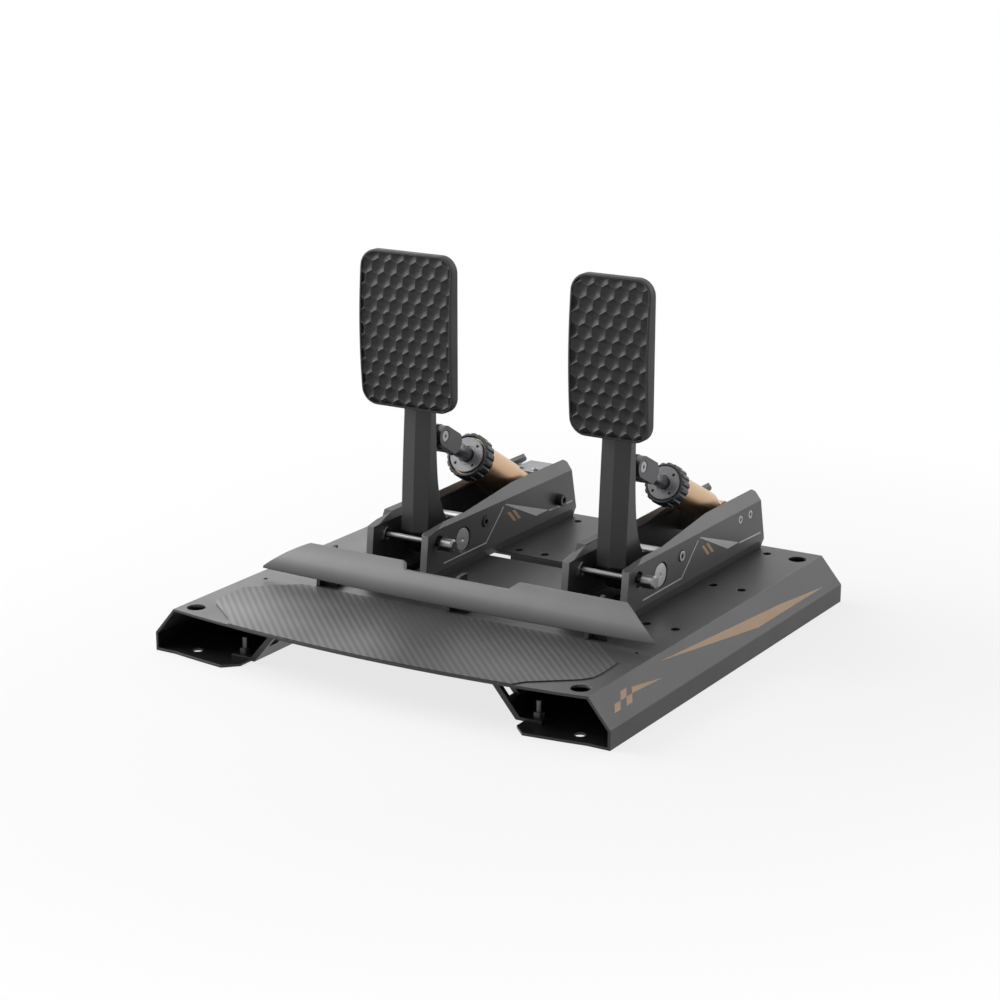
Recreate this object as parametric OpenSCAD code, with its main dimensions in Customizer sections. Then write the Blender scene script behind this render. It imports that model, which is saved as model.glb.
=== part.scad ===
// Two-pedal racing simulator set on a folded steel base.
// Origin on the floor under the middle of the base, X to the right, Y away from the driver, Z up.

/* [Base] */
// Width of the deck between its two side folds
deck_w = 360; // [350:1:400]
// Depth of the deck along its side folds
deck_d = 384; // [380:1:420]
// How far the front edge bows out towards the driver
bow = 14; // [6:1:20]
// Height of the vertical skirt at each side
skirt_h = 14.5; // [10:0.5:20]
// Height of the slanted band between the skirt and the deck
slant_h = 21.5; // [18:0.5:26]
// Sideways run of the slanted band
slant_run = 18; // [12:1:24]
// Thickness of the base sheet
sheet_t = 2; // [1.5:0.1:2.5]
// Width of each bottom flange from the skirt inwards
flange_w = 77; // [60:1:80]
// Depth of the bottom flange along the rear wall
rear_flange = 34; // [24:1:40]
// Diameter of the spare holes in the deck
deck_hole_d = 7.2; // [5:0.1:9]
// Diameter of the four tool holes at the deck's corners
access_d = 14.4; // [12:0.2:18]
// Diameter of the four mounting holes in the bottom flanges
mount_d = 8.5; // [6:0.1:11]
// Distance of the corner holes from the side folds
corner_in = 12.5; // [11:0.5:18]
// Distance of the front corner holes from the front corners
corner_front = 12; // [10:0.5:20]
// Distance of the rear corner holes from the rear wall
corner_rear = 20; // [14:0.5:32]
// Depth of the slot across the deck
slot_d = 15; // [8:0.5:16]
// Distance of the slot from the front corners
slot_y = 243; // [240:1:246]

/* [Foot area] */
// Thickness of the grip sheet on the deck
grip_t = 0.8; // [0.5:0.1:1.2]
// Half the width of the grip sheet at its widest
grip_half = 166; // [160:1:170]
// Outer radius of the curved heel stop
heel_r = 34.2; // [32:0.2:36]
// Thickness of the heel stop's sheet
heel_t = 2; // [1.5:0.1:3]
// Half the length of the heel stop along its lower edge
heel_half = 174.5; // [168:0.5:176]
// Gap under the heel stop's lower edge
heel_gap = 4.5; // [3.5:0.5:6]
// Width of the shallow notch in the heel stop's top edge
notch_w = 104; // [80:1:120]

/* [Pedal frames] */
// Place of the brake pedal's middle, left of the base's middle
brake_left = 75; // [73:0.5:80]
// Place of the throttle pedal's middle, right of the base's middle
throttle_right = 102; // [98:0.5:104]
// Distance of the frames from the base's front corners
frame_y = 144; // [143:0.5:146]
// Length of a side plate at the deck
plate_len = 235; // [232:1:236]
// Thickness of a side plate
plate_t = 6; // [5:0.5:7]
// Clear width between the two side plates
frame_gap = 45; // [44:0.5:50]
// Height of the fold where a side plate's top strip starts
fold_h = 42.5; // [40:0.5:44]
// Lean of the top strip from upright
strip_lean = 50; // [40:1:56]
// Width of the top strip at the front
strip_front = 4.5; // [4:0.5:6]
// Width of the top strip at the rear
strip_rear = 12; // [10:0.5:13]
// Diameter of the tie rod at the front
tie_d = 5; // [4:0.5:6]
// Outer diameter of the spacer tube behind the arm
tube_d = 8; // [7:0.5:9]

/* [Pivot] */
// Distance of the pedal pivot from the frame's front
pivot_u = 55; // [54:0.5:57]
// Height of the pedal pivot above the deck
pivot_w = 25; // [24:0.5:27]
// Diameter of the pivot axle
axle_d = 12; // [10:0.5:13]
// Outer diameter of the pivot bearings
bearing_d = 21; // [19:0.5:24]
// Width of a pivot bearing
bearing_w = 4; // [3:0.5:5]

/* [Pedal arms] */
// Width of a pedal arm
arm_w = 25; // [22:0.5:26]
// Radius of the arm's hub round the axle
hub_r = 16; // [15:0.5:17]
// How far the arm's front ridge stands proud of its edges
ridge = 2.8; // [1:0.1:4]
// Height of the arm's top end above the deck
arm_top = 216; // [205:1:225]
// Thickness of the ear that carries the damper
ear_t = 8; // [6:0.5:8]
// Radius of the ear round the damper's pin
ear_r = 9; // [8:0.5:9.5]

/* [Pedal faces] */
// Width of the brake's face
brake_face_w = 84; // [76:1:92]
// Width of the throttle's face
throttle_face_w = 67; // [60:0.5:76]
// Height of a face
face_h = 122.5; // [110:0.5:126]
// Height of a face's middle above the deck
face_mid = 196; // [194:0.5:200]
// Thickness of a face at its upper and lower edges
face_t = 7.1; // [6:0.1:9]
// How much thicker a face is at mid height
crown = 4.1; // [2:0.1:6]
// Corner radius of a face
face_r = 13; // [8:0.5:16]
// Distance between neighbouring six-sided pits
pit_pitch = 11.5; // [11:0.1:14]
// Width of the rib between two pits
pit_rib = 1.1; // [0.8:0.1:2]
// Depth of the pits
pit_depth = 1.5; // [0.8:0.1:2.5]

/* [Dampers] */
// Outer diameter of the brake damper's cylinder
brake_cyl_d = 31.4; // [29:0.1:32]
// Outer diameter of the throttle damper's cylinder
throttle_cyl_d = 25.4; // [24:0.1:27]
// Diameter of the brake damper's rod
brake_rod_d = 12; // [10:0.5:13]
// Diameter of the throttle damper's rod
throttle_rod_d = 10; // [8:0.5:11]
// Wall of a damper's cylinder
cyl_wall = 3; // [2.5:0.1:3.5]
// How far a preload ring stands out from its cylinder
ring_proud = 3.4; // [2.5:0.1:3.6]
// Length of a preload ring
ring_len = 13; // [11:0.5:15]
// Number of finger notches round a preload ring
ring_notches = 18; // [12:1:24]
// Diameter of the pin in a rod's fork
fork_pin_d = 6; // [5:0.5:7]
// Width of a rod's fork
fork_w = 20; // [19:0.5:21]
// Height of a rod's fork
fork_h = 17; // [16:0.5:20]
// Wire diameter of the throttle's return spring
wire_d = 2.2; // [1.6:0.1:2.4]
// Number of curls of the throttle's return spring
curls = 9; // [7:1:11]

/* [Fits] */
// Clearance between a shaft and the hole it turns or slides in
run_fit = 0.05; // [0.02:0.01:0.08]
// Clearance between a fastener and its hole
bolt_fit = 0.1; // [0.05:0.05:0.3]
// Gap between faces that pass each other
side_gap = 0.5; // [0.3:0.1:0.8]
// Gap between pieces that seat against each other
seat_gap = 0.1; // [0.05:0.05:0.3]
// Free play of the fork pin in the pedal arm's ear
ear_play = 0.5; // [0.45:0.05:0.6]

/* [Hidden] */
$fn = 64;

// Colours as the finished object shows them
c_paint = [0.17, 0.17, 0.18];
c_frame = [0.24, 0.24, 0.25];
c_grip = [0.3, 0.3, 0.31];
c_black = [0.08, 0.08, 0.09];
c_steel = [0.72, 0.72, 0.74];
c_bronze = [0.72, 0.55, 0.38];
c_rubber = [0.1, 0.1, 0.1];
c_board = [0.1, 0.3, 0.18];

BRAKE = 0;
THROTTLE = 1;

// Base
deck_h = skirt_h + slant_h;
base_w = deck_w + 2 * slant_run;
front_y = bow - (deck_d + bow) / 2;
rear_y = front_y + deck_d;
bow_r = (pow(deck_w / 2, 2) + pow(bow, 2)) / (2 * bow);
fold_a = atan2(slant_h, slant_run);
skirt_fold = 90 - fold_a;
flange_in = base_w / 2 - flange_w;
flange_cut = 4;
corner_x = deck_w / 2 - corner_in;
corner_y = [front_y + corner_front, rear_y - corner_rear];
frame_x = [-brake_left, throttle_right];
spare_cols = [38, 62.5];
spare_rows = [158, 268, deck_d - 19];
slot_reach = 3;
small_hole_x = 165.5;
small_hole_y = 97;
small_hole_d = 3.6;

// Side plates, in the frame's own axes: u back from the frame's front, w up from the deck
frame_w = frame_gap + 2 * plate_t;
foot_h = 8;
foot_in = 3;
foot_a = atan2(foot_in, foot_h);
foot_flange_t = 5;
foot_flange = 14;
front_rake = 4.5;
front_top = 40;
front_slope = 75;
strip_rise = 12.2;
rear_rake = 8;
strip_end = 5;
strip_widens = [62, 145];
damper_room = 1.6;
plate_corner = 4;
frame_bolt_in = 15;
frame_bolt_u = [30, 178];
frame_bolt_d = 5;
tie_u = 19.2;
tie_w = 31;
knob_out = 3;
knob_l = 11.5;
knob_r = 5.2;
knob_sink_r = 6.5;
rod_nut_d = 12.6;
rod_nut_h = 3;
tube_u = 88;
tube_w = 31.5;

// Socket-head screws: head diameter, head height and key width per shank diameter
head_ratio = 1.7;
key_ratio = 0.8;
sink_gap = 0.6;
nut_ratio = 1.6;
nut_h = 4;
hex_across = 2 / sqrt(3);

// Arms
arm_foot_w = 34;
arm_foot_u = 25.5;
flat_from = 136;
arm_mid_w = 128;
flare = 10.5;
flare_fade = 18;
flare_from = 46;
arm_back_u = 41;
arm_steps = 14;
boss_r = 11;
bracket_t = 5.5;
bracket_w = 42;
bracket_h = 84;
bracket_screw_x = 16;
bracket_screw_w = 30;
face_back_u = 27;
bracket_mid = face_mid - 10;
face_screw_d = 4;
arm_screw_d = 5;
arm_screw_w = 22;

// Sensor housing
sensor_t = 8;
sensor_half = 27;
sensor_half_top = 15;
sensor_low = 8;
sensor_shoulder = 24;
sensor_top = 44;
sensor_bore_r = 12;
sensor_wall = 2;
magnet_r = 4;
magnet_t = 2;
board_side = 14;
board_t = 1.6;

// Dampers: pin in the arm's ear and rear pivot, in the frame's own axes
pin_u = [59, 59.5];
pin_w = [106, 106];
rear_u = [204, 199.2];
rear_w = [22, 35];
damper_len = [for (k = [BRAKE, THROTTLE]) norm([rear_u[k] - pin_u[k], rear_w[k] - pin_w[k]])];
damper_dip = [for (k = [BRAKE, THROTTLE]) atan2(pin_w[k] - rear_w[k], rear_u[k] - pin_u[k])];
cyl_r = [brake_cyl_d / 2, throttle_cyl_d / 2];
rod_r = [brake_rod_d / 2, throttle_rod_d / 2];
bore_r = [cyl_r[0] - cyl_wall, cyl_r[1] - cyl_wall];
cap_r = [cyl_r[0] - 0.7, cyl_r[1] + 0.8];
ring_r = [cyl_r[0] + ring_proud, cyl_r[1] + ring_proud + 0.8];
cap_at = [53, 56.5];
cap_t = 3.2;
cap_spigot = 8;
groove_at = [123, 137];
groove_w = 3;
groove_depth = 1.4;
tail_drop = 1.4;
flat_at = [damper_len[0] - 18, damper_len[1] - 15.5];
eye_half = 8.5;
eye_r = [11, 10.2];
rear_pin_d = [6, 8];
notch_r = 1.7;
notch_depth = 1.3;
piston_len = 8;
piston_gap = 1;
fork_end = 25.5;
fork_slot = 13.5;
fork_chamfer = 5;
collar_len = 4;
collar_proud = 2;
pin_head_r = 4.4;
pin_head_t = 1.6;
pin_head_sink = 1.9;
mount_screw_u = [190.3, 208.2];
mount_low = 20;
mount_screw_d = 4;

function arc(cx, cy, r, from, to, n) =
    [for (i = [0:n]) [cx + r * cos(from + (to - from) * i / n), cy + r * sin(from + (to - from) * i / n)]];
function mirrored(pts) = concat(pts, [for (i = [len(pts) - 1:-1:0]) [-pts[i][0], pts[i][1]]]);

// Ridge line of the arm's front and its flared back edge, as u for a height w
function ridge_u(w) =
    arm_foot_u + 0.038 * (min(w, arm_mid_w) - arm_foot_w) + 0.00023 * pow(min(w, arm_mid_w) - arm_foot_w, 2);
function back_u(w) = arm_back_u + flare * exp(-(w - flare_from) / flare_fade);

// A flat profile of u and w points, given a thickness along X, centred on it
module across(t) {
    rotate([90, 0, 90])
        linear_extrude(t, center = true)
            children();
}

// A profile of X and Z points, run along Y from y_from for a length
module lengthwise(y_from, l) {
    translate([0, y_from + l, 0])
        rotate([90, 0, 0])
            linear_extrude(l)
                children();
}

module in_frame(k) {
    translate([frame_x[k], front_y + frame_y, deck_h])
        children();
}

// Damper axes: origin at the fork's pin, Z along the damper towards its rear pivot
module on_damper(k) {
    in_frame(k)
        translate([0, pin_u[k], pin_w[k]])
            rotate([-(90 + damper_dip[k]), 0, 0])
                children();
}

// A cylinder along X from x0 to x1 at a frame's u and w
module bar_x(r, x0, x1, u, w) {
    translate([x0, u, w])
        rotate([0, 90, 0])
            cylinder(h = x1 - x0, r = r);
}

// A socket-head screw along Z: its head from 0 up, its shank down
module socket_screw(d, l, head_h) {
    difference() {
        cylinder(h = head_h, d = d * head_ratio);
        translate([0, 0, head_h * 0.4])
            cylinder(h = head_h, d = d * key_ratio * hex_across, $fn = 6);
    }
    translate([0, 0, -l])
        cylinder(h = l, d = d);
}

module hex_nut(d, h) {
    difference() {
        cylinder(h = h, d = d * nut_ratio * hex_across, $fn = 6);
        translate([0, 0, -1])
            cylinder(h = h + 2, d = d + 2 * run_fit);
    }
}

/* Base */

function base_outline() = [
    [flange_in, 0], [base_w / 2, 0], [base_w / 2, skirt_h], [deck_w / 2, deck_h]
];
function base_inner() = [
    [deck_w / 2 - sheet_t * tan(fold_a / 2), deck_h - sheet_t],
    [base_w / 2 - sheet_t, skirt_h - sheet_t * tan(skirt_fold / 2)],
    [base_w / 2 - sheet_t, sheet_t],
    [flange_in, sheet_t]
];

module base_section() {
    polygon(concat(
        base_outline(),
        [for (p = [3:-1:0]) [-base_outline()[p][0], base_outline()[p][1]]],
        [for (p = [3:-1:0]) [-base_inner()[p][0], base_inner()[p][1]]],
        base_inner()
    ));
}

// The part of a large disc that reaches past the front corners, from one X to another
module bowed_lip(x0, x1) {
    linear_extrude(sheet_t)
        intersection() {
            translate([0, front_y - bow + bow_r])
                circle(r = bow_r, $fn = 360);
            translate([x0, front_y - bow])
                square([x1 - x0, bow + sheet_t]);
        }
}

// A spare hole is left out where a corner hole takes its place
function clear_of_corner(x, y) = norm([x - corner_x, y - corner_y[1]]) > (deck_hole_d + access_d) / 2;

module deck_cuts() {
    reach = deck_h - sheet_t - 1;
    for (k = [BRAKE, THROTTLE], c = spare_cols, r = spare_rows)
        if (clear_of_corner(frame_x[k] + c, front_y + r))
            translate([frame_x[k] + c, front_y + r, reach])
                cylinder(h = sheet_t + 2, d = deck_hole_d);
    for (x = [-corner_x, corner_x], y = corner_y)
        translate([x, y, reach])
            cylinder(h = sheet_t + 2, d = access_d);
    for (x = [-small_hole_x, small_hole_x])
        translate([x, front_y + small_hole_y, reach])
            cylinder(h = sheet_t + 2, d = small_hole_d);
    for (k = [BRAKE, THROTTLE], x = frame_bolt_x(), u = frame_bolt_u)
        translate([frame_x[k] + x, front_y + frame_y + u, reach])
            cylinder(h = sheet_t + 2, d = frame_bolt_d + 4 * bolt_fit);
    translate([frame_x[BRAKE] + slot_reach, front_y + slot_y, reach])
        cube([frame_x[THROTTLE] - frame_x[BRAKE] - 2 * slot_reach, slot_d, sheet_t + 2]);
}

module flange_cuts() {
    for (x = [-corner_x, corner_x], y = corner_y)
        translate([x, y, -1])
            cylinder(h = sheet_t + 2, d = mount_d);
    for (s = [-1, 1])
        translate([s * flange_in, front_y, -1])
            linear_extrude(sheet_t + 2)
                polygon([[-s, flange_cut + 1], [s * (flange_cut + bow), -bow], [-s, -bow]]);
}

module base_plate() color(c_paint) {
    difference() {
        union() {
            lengthwise(front_y, deck_d)
                base_section();
            translate([0, 0, deck_h - sheet_t])
                bowed_lip(-deck_w / 2, deck_w / 2);
            bowed_lip(flange_in, deck_w / 2);
            bowed_lip(-deck_w / 2, -flange_in);
            lengthwise(rear_y - sheet_t, sheet_t)
                polygon(mirrored([[base_w / 2, 0], [base_w / 2, skirt_h], [deck_w / 2, deck_h]]));
            translate([-base_w / 2 + sheet_t, rear_y - rear_flange, 0])
                cube([base_w - 2 * sheet_t, rear_flange, sheet_t]);
        }
        deck_cuts();
        flange_cuts();
        for (p = box_screws())
            translate([p[0], p[1], deck_h - sheet_t - 1])
                cylinder(h = box_screw_up + 1.1, d = box_screw_d);
        translate([-exit_w / 2, rear_y - 2 * sheet_t, deck_h - sheet_t - exit_h - 4])
            cube([exit_w, 3 * sheet_t, exit_h]);
    }
}

// Z-shaped rails that hold the deck up along the inner edges of the bottom flanges
brace_t = 2.5;
brace_y = 13;
brace_l = deck_d - 64;
brace_foot = 18;
brace_out = 3;
brace_lean = 25;
brace_top = 13;
brace_side = 3.4;
notch_y = [17, 28];
notch_low = 15;
head_room = 8;
head_clear = 1.5;
stud_in = 8;
stud_end = 8.6;
stud_y = [for (share = [0, 0.5, 1]) brace_y + stud_end + share * (brace_l - 2 * stud_end)];
stud_d = 5;
stud_h = 15;

module deck_brace(s) {
    low = sheet_t;
    high = deck_h - sheet_t;
    foot = flange_in - brace_out;
    head = foot - brace_lean;
    pts = [
        [foot - brace_side, low], [foot + brace_foot, low], [foot + brace_foot, low + brace_t],
        [foot, low + brace_t], [head, high], [head - brace_top, high],
        [head - brace_top, high - brace_t], [head - brace_side, high - brace_t]
    ];
    difference() {
        lengthwise(front_y + brace_y, brace_l)
            polygon([for (p = pts) [s * p[0], p[1]]]);
        for (y = stud_y)
            translate([s * (flange_in + stud_in), front_y + y, low - 1])
                cylinder(h = brace_t + 2, d = stud_d + 2 * bolt_fit);
        translate([s * head - brace_lean, front_y + notch_y[0], notch_low])
            cube([2 * brace_lean, notch_y[1] - notch_y[0], high - brace_t - notch_low - 1]);
        // Room for the heads of the deck bolts that come down beside the rail
        for (x = frame_x, bolt = frame_bolt_x(), u = frame_bolt_u)
            translate([x + bolt, front_y + frame_y + u, high - head_room])
                cylinder(h = head_room + 1, d = frame_bolt_d * head_ratio + 2 * head_clear);
    }
}

module left_deck_brace() color(c_black) deck_brace(-1);
module right_deck_brace() color(c_black) deck_brace(1);

module at_studs(h) {
    for (s = [-1, 1], y = stud_y)
        translate([s * (flange_in + stud_in), front_y + y, h])
            children();
}

module brace_studs() color(c_steel) {
    at_studs(sheet_t)
        cylinder(h = stud_h, d = stud_d);
}

module brace_nuts() color(c_steel) {
    at_studs(sheet_t + brace_t)
        hex_nut(stud_d, nut_h);
}

// Control box that hangs under the deck behind the slot
box_w = 82;
box_l = 78;
box_y = 262;
box_h = 22;
box_wall = 2;
box_flange = 9;
box_screw_d = 3;
box_screw_up = 1.5;
box_board_h = 8;
box_screw_in = 8;
box_play = 0.5;
usb_w = 9.5;
usb_h = 4;
lead_w = 12;
lead_h = 8;
lead_x = [-26, 26];
exit_w = 64;
exit_h = 14;

function box_screws() = [for (x = [-1, 1], y = [-1, 1])
    [x * (box_w + box_flange) / 2, front_y + box_y + box_l / 2 + y * (box_l / 2 - box_screw_in)]];

module controller_box() color(c_black) {
    top = deck_h - sheet_t;
    rear = front_y + box_y + box_l;
    difference() {
        union() {
            translate([-box_w / 2, rear - box_l, top - box_h])
                cube([box_w, box_l, box_h]);
            translate([-box_w / 2 - box_flange, rear - box_l, top - box_wall])
                cube([box_w + 2 * box_flange, box_l, box_wall]);
        }
        translate([-box_w / 2 + box_wall, rear - box_l + box_wall, top - box_h + box_wall])
            cube([box_w - 2 * box_wall, box_l - 2 * box_wall, box_h]);
        translate([-usb_w / 2, rear - 2 * box_wall, top - box_board_h - usb_h])
            cube([usb_w, 4 * box_wall, usb_h]);
        for (x = lead_x)
            translate([x - lead_w / 2, rear - 2 * box_wall, top - box_board_h - lead_h])
                cube([lead_w, 4 * box_wall, lead_h]);
        for (p = box_screws())
            translate([p[0], p[1], top - box_wall - 1])
                cylinder(h = box_wall + 2, d = box_screw_d + 2 * bolt_fit);
    }
}

// Board with one thin socket and two lead sockets that face the rear
module controller_board() color(c_board) {
    top = deck_h - sheet_t;
    rear = front_y + box_y + box_l - box_wall - box_play;
    l = box_l - 2 * (box_wall + box_play);
    w = box_w - 2 * (box_wall + box_play);
    difference() {
        union() {
            translate([-w / 2, rear - l, top - box_board_h])
                cube([w, l, board_t]);
            translate([-usb_w / 2 + 0.3, rear - 7, top - box_board_h - usb_h + 0.3])
                cube([usb_w - 0.6, 7, usb_h - 0.3]);
            for (x = lead_x)
                translate([x - lead_w / 2 + 0.3, rear - 10, top - box_board_h - lead_h + 0.3])
                    cube([lead_w - 0.6, 10, lead_h - 0.3]);
        }
        for (x = lead_x)
            translate([x - lead_w / 2 + 1.3, rear - 8, top - box_board_h - lead_h + 1.3])
                cube([lead_w - 2.6, 10, lead_h - 2.3]);
        translate([-usb_w / 2 + 1, rear - 5, top - box_board_h - usb_h + 1])
            cube([usb_w - 2, 7, usb_h - 1.7]);
    }
}

module controller_screws() color(c_steel) {
    for (p = box_screws())
        translate([p[0], p[1], deck_h - sheet_t - box_wall])
            rotate([180, 0, 0])
                socket_screw(box_screw_d, box_wall + box_screw_up, 2.4);
}

module foot_grip_sheet() color(c_grip) {
    grip_back = 100;
    half = [
        [129, 2], [grip_half - 6, 26.5], [grip_half - 1, 34], [grip_half, 44],
        [grip_half - 1, 70], [grip_half - 34, grip_back]
    ];
    translate([0, 0, deck_h])
        linear_extrude(grip_t)
            intersection() {
                translate([0, front_y - bow + bow_r])
                    circle(r = bow_r - 0.5, $fn = 360);
                translate([0, front_y])
                    polygon(mirrored(concat([[129 - 10, -bow]], half)));
            }
}

// Heel stop: a curved sheet whose axis lies just under the deck's top face
heel_axis_y = front_y + 135;
heel_axis_w = -4.5;
heel_low = asin((heel_gap - heel_axis_w) / heel_r);
heel_high = 68;
heel_shift = 2;
heel_cut = 179;
heel_end_lean = [0.924, 0.806];
heel_rise = 2;
heel_flat = 60;
notch_top = 22.3;
gusset_t = 3;
gusset_foot = [16, 20];
gusset_front = 26;
gusset_low = 24;
heel_bracket_x = [-120, 0, 120];
heel_screw_at = [9, 10];
heel_screw_d = 4;

module heel_end_cut(s) {
    // The plane of the end cut rises inwards along the curve
    translate([heel_shift + s * heel_cut, heel_axis_y - heel_r * cos(heel_low), deck_h + heel_gap])
        multmatrix([
            [1, -heel_end_lean[1] * s, -heel_end_lean[0] * s, 0], [0, 1, 0, 0], [0, 0, 1, 0], [0, 0, 0, 1]
        ])
            translate([s > 0 ? 0 : -2 * heel_r, -heel_r, -heel_r])
                cube([2 * heel_r, 3 * heel_r, 3 * heel_r]);
}

module heel_stop() color(c_frame) {
    reach = 2.4 * heel_r;
    difference() {
        translate([heel_shift, heel_axis_y, deck_h + heel_axis_w])
            across(2 * heel_half)
                difference() {
                    intersection() {
                        circle(r = heel_r, $fn = 128);
                        polygon([[0, 0], reach * [-cos(heel_low), sin(heel_low)], reach * [-1, 1],
                            reach * [-cos(heel_high), sin(heel_high)]]);
                    }
                    circle(r = heel_r - heel_t, $fn = 128);
                }
        for (s = [-1, 1])
            heel_end_cut(s);
        lengthwise(heel_axis_y - heel_r, heel_r)
            polygon(mirrored([[notch_w / 2 - 6, deck_h + notch_top], [notch_w / 2 + 6, deck_h + notch_top + 10]]));
        for (s = [-1, 1])
            translate([heel_shift, 0, deck_h])
                lengthwise(heel_axis_y - heel_r - 1, heel_r)
                    polygon([
                        [s * heel_flat, heel_gap - 2], [s * heel_flat, heel_gap],
                        [s * (heel_half + 1), heel_gap + heel_rise], [s * (heel_half + 1), heel_gap - 2]
                    ]);
    }
}

module heel_stop_brackets() color(c_black) {
    seat_r = heel_r - heel_t - seat_gap;
    for (x = heel_bracket_x)
        difference() {
            union() {
                translate([x, heel_axis_y, deck_h + heel_axis_w])
                    across(gusset_t)
                        intersection() {
                            circle(r = seat_r, $fn = 128);
                            translate([-seat_r, -heel_axis_w])
                                square([seat_r - 6, x == 0 ? gusset_low : seat_r]);
                        }
                translate([x - gusset_t / 2, heel_axis_y - gusset_front, deck_h])
                    cube([gusset_foot[0], gusset_foot[1], gusset_t]);
            }
            translate([x, heel_axis_y - gusset_front, deck_h - 1] + [heel_screw_at[0], heel_screw_at[1], 0])
                cylinder(h = gusset_t + 2, d = heel_screw_d + 2 * bolt_fit);
        }
}

module heel_stop_screws() color(c_black) {
    for (x = heel_bracket_x)
        translate([x + heel_screw_at[0], heel_axis_y - gusset_front + heel_screw_at[1], deck_h + gusset_t])
            socket_screw(heel_screw_d, gusset_t, 3);
}

/* Pedal frames */

// Heights between which the inner face of a side plate is upright
inner_foot = foot_h + plate_t * tan(foot_a / 2);
inner_fold = fold_h - plate_t * tan(strip_lean / 2);
web_low = inner_foot + seat_gap;
web_high = inner_fold - seat_gap;

function frame_bolt_x() = [-(frame_w / 2 - frame_bolt_in), frame_w / 2 - frame_bolt_in];

// Cross-section of a side plate: q inwards from its outer face, w up
function plate_section() = let (
    sb = sin(strip_lean),
    cb = cos(strip_lean),
    q = frame_w / 2 - brake_cyl_d / 2 - damper_room
) [
    [foot_in, 0], [0, foot_h], [0, fold_h],
    [q, fold_h + q * cb / sb],
    [q, fold_h + (q - plate_t * cb) * cb / sb - plate_t * sb],
    [plate_t, inner_fold],
    [plate_t, inner_foot],
    [plate_t + (inner_foot - foot_flange_t) * tan(foot_a), foot_flange_t],
    [foot_in + plate_t + foot_flange, foot_flange_t],
    [foot_in + plate_t + foot_flange, 0]
];

// Side outline of a plate: raked ends and a sloping front corner
module web_outline() {
    polygon([
        [0, 0], [plate_len, 0], [plate_len, foot_h], [plate_len - rear_rake, fold_h],
        [plate_len, fold_h + strip_rear], [front_rake + front_slope, fold_h + strip_rise], [front_rake, front_top]
    ]);
}

// Outline of the top strip square to itself, from the fold up, with a round rear corner
module strip_outline() {
    end = plate_len - strip_end;
    polygon(concat(
        [[-1, -2 * fold_h], [plate_len + 1, -2 * fold_h], [plate_len + 1, 0], [plate_len - rear_rake, 0]],
        arc(end - plate_corner, strip_rear - plate_corner, plate_corner, 0, 90, 8),
        [[strip_widens[1], strip_rear], [strip_widens[0], strip_front], [-1, strip_front]]
    ));
}

module plate_holes(k, s) {
    outer = frame_w / 2;
    bar_x(tie_d / 2 + bolt_fit, -outer - 1, outer + 1, tie_u, tie_w);
    bar_x(tie_d / 2 + bolt_fit, -outer - 1, outer + 1, tube_u, tube_w);
    bar_x(bearing_d / 2, -outer - 1, outer + 1, pivot_u, pivot_w);
    if (s > 0) {
        bar_x(knob_sink_r, outer - plate_t / 2, outer + 1, tie_u, tie_w);
        bar_x(tie_d * head_ratio / 2 + sink_gap, outer - plate_t / 2, outer + 1, tube_u, tube_w);
    }
    if (k == BRAKE)
        bar_x(rear_pin_d[k] / 2 + bolt_fit, -outer - 1, outer + 1, rear_u[k], rear_w[k]);
    if (k == THROTTLE)
        for (u = mount_screw_u) {
            bar_x(mount_screw_d / 2 + bolt_fit, -outer - 1, outer + 1, u, rear_w[k]);
            bar_x(mount_screw_d * head_ratio / 2 + bolt_fit * 3, outer - 2, outer + 1, u, rear_w[k]);
            bar_x(mount_screw_d * head_ratio / 2 + bolt_fit * 3, -outer - 1, -outer + 2, u, rear_w[k]);
        }
    for (x = frame_bolt_x(), u = frame_bolt_u)
        translate([x, u, -1])
            cylinder(h = foot_flange_t + 2, d = frame_bolt_d + 2 * bolt_fit);
}

module side_plate(k, s) {
    in_frame(k)
        difference() {
            intersection() {
                lengthwise(0, plate_len)
                    polygon([for (p = plate_section()) [s * (frame_w / 2 - p[0]), p[1]]]);
                across(2 * frame_w)
                    web_outline();
                translate([s * frame_w / 2, 0, fold_h])
                    rotate([0, -s * strip_lean, 0])
                        across(2 * frame_w)
                            strip_outline();
            }
            plate_holes(k, s);
        }
}

module each_frame() {
    for (k = [BRAKE, THROTTLE])
        in_frame(k)
            children();
}

module deck_bolts() color(c_black) {
    each_frame()
        for (x = frame_bolt_x(), u = frame_bolt_u)
            translate([x, u, -sheet_t])
                rotate([180, 0, 0])
                    socket_screw(frame_bolt_d, sheet_t + foot_flange_t, 5);
}

// Tie rods whose knobs stand clear of the right side plates
module tie_rods() color(c_steel) {
    each_frame()
        translate([0, tie_u, tie_w])
            rotate([0, 90, 0])
                rotate_extrude()
                    polygon([
                        [0, 1 - frame_w / 2], [tie_d / 2, 1 - frame_w / 2], [tie_d / 2, frame_w / 2 + knob_out],
                        [knob_r - 0.8, frame_w / 2 + knob_out], [knob_r, frame_w / 2 + knob_out + 0.8],
                        [knob_r, frame_w / 2 + knob_out + knob_l - 1.5],
                        [knob_r - 1.2, frame_w / 2 + knob_out + knob_l], [0, frame_w / 2 + knob_out + knob_l]
                    ]);
}

module spacer_tubes() color(c_steel) {
    each_frame()
        difference() {
            bar_x(tube_d / 2, -frame_gap / 2, frame_gap / 2, tube_u, tube_w);
            bar_x(tie_d / 2 + bolt_fit, -frame_gap / 2 - 1, frame_gap / 2 + 1, tube_u, tube_w);
        }
}

module frame_screw(k) {
    head_at = frame_w / 2 - plate_t / 2;
    in_frame(k)
        translate([head_at, tube_u, tube_w])
            rotate([0, 90, 0])
                socket_screw(tie_d, head_at + frame_w / 2 + 5, 4);
}

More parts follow.
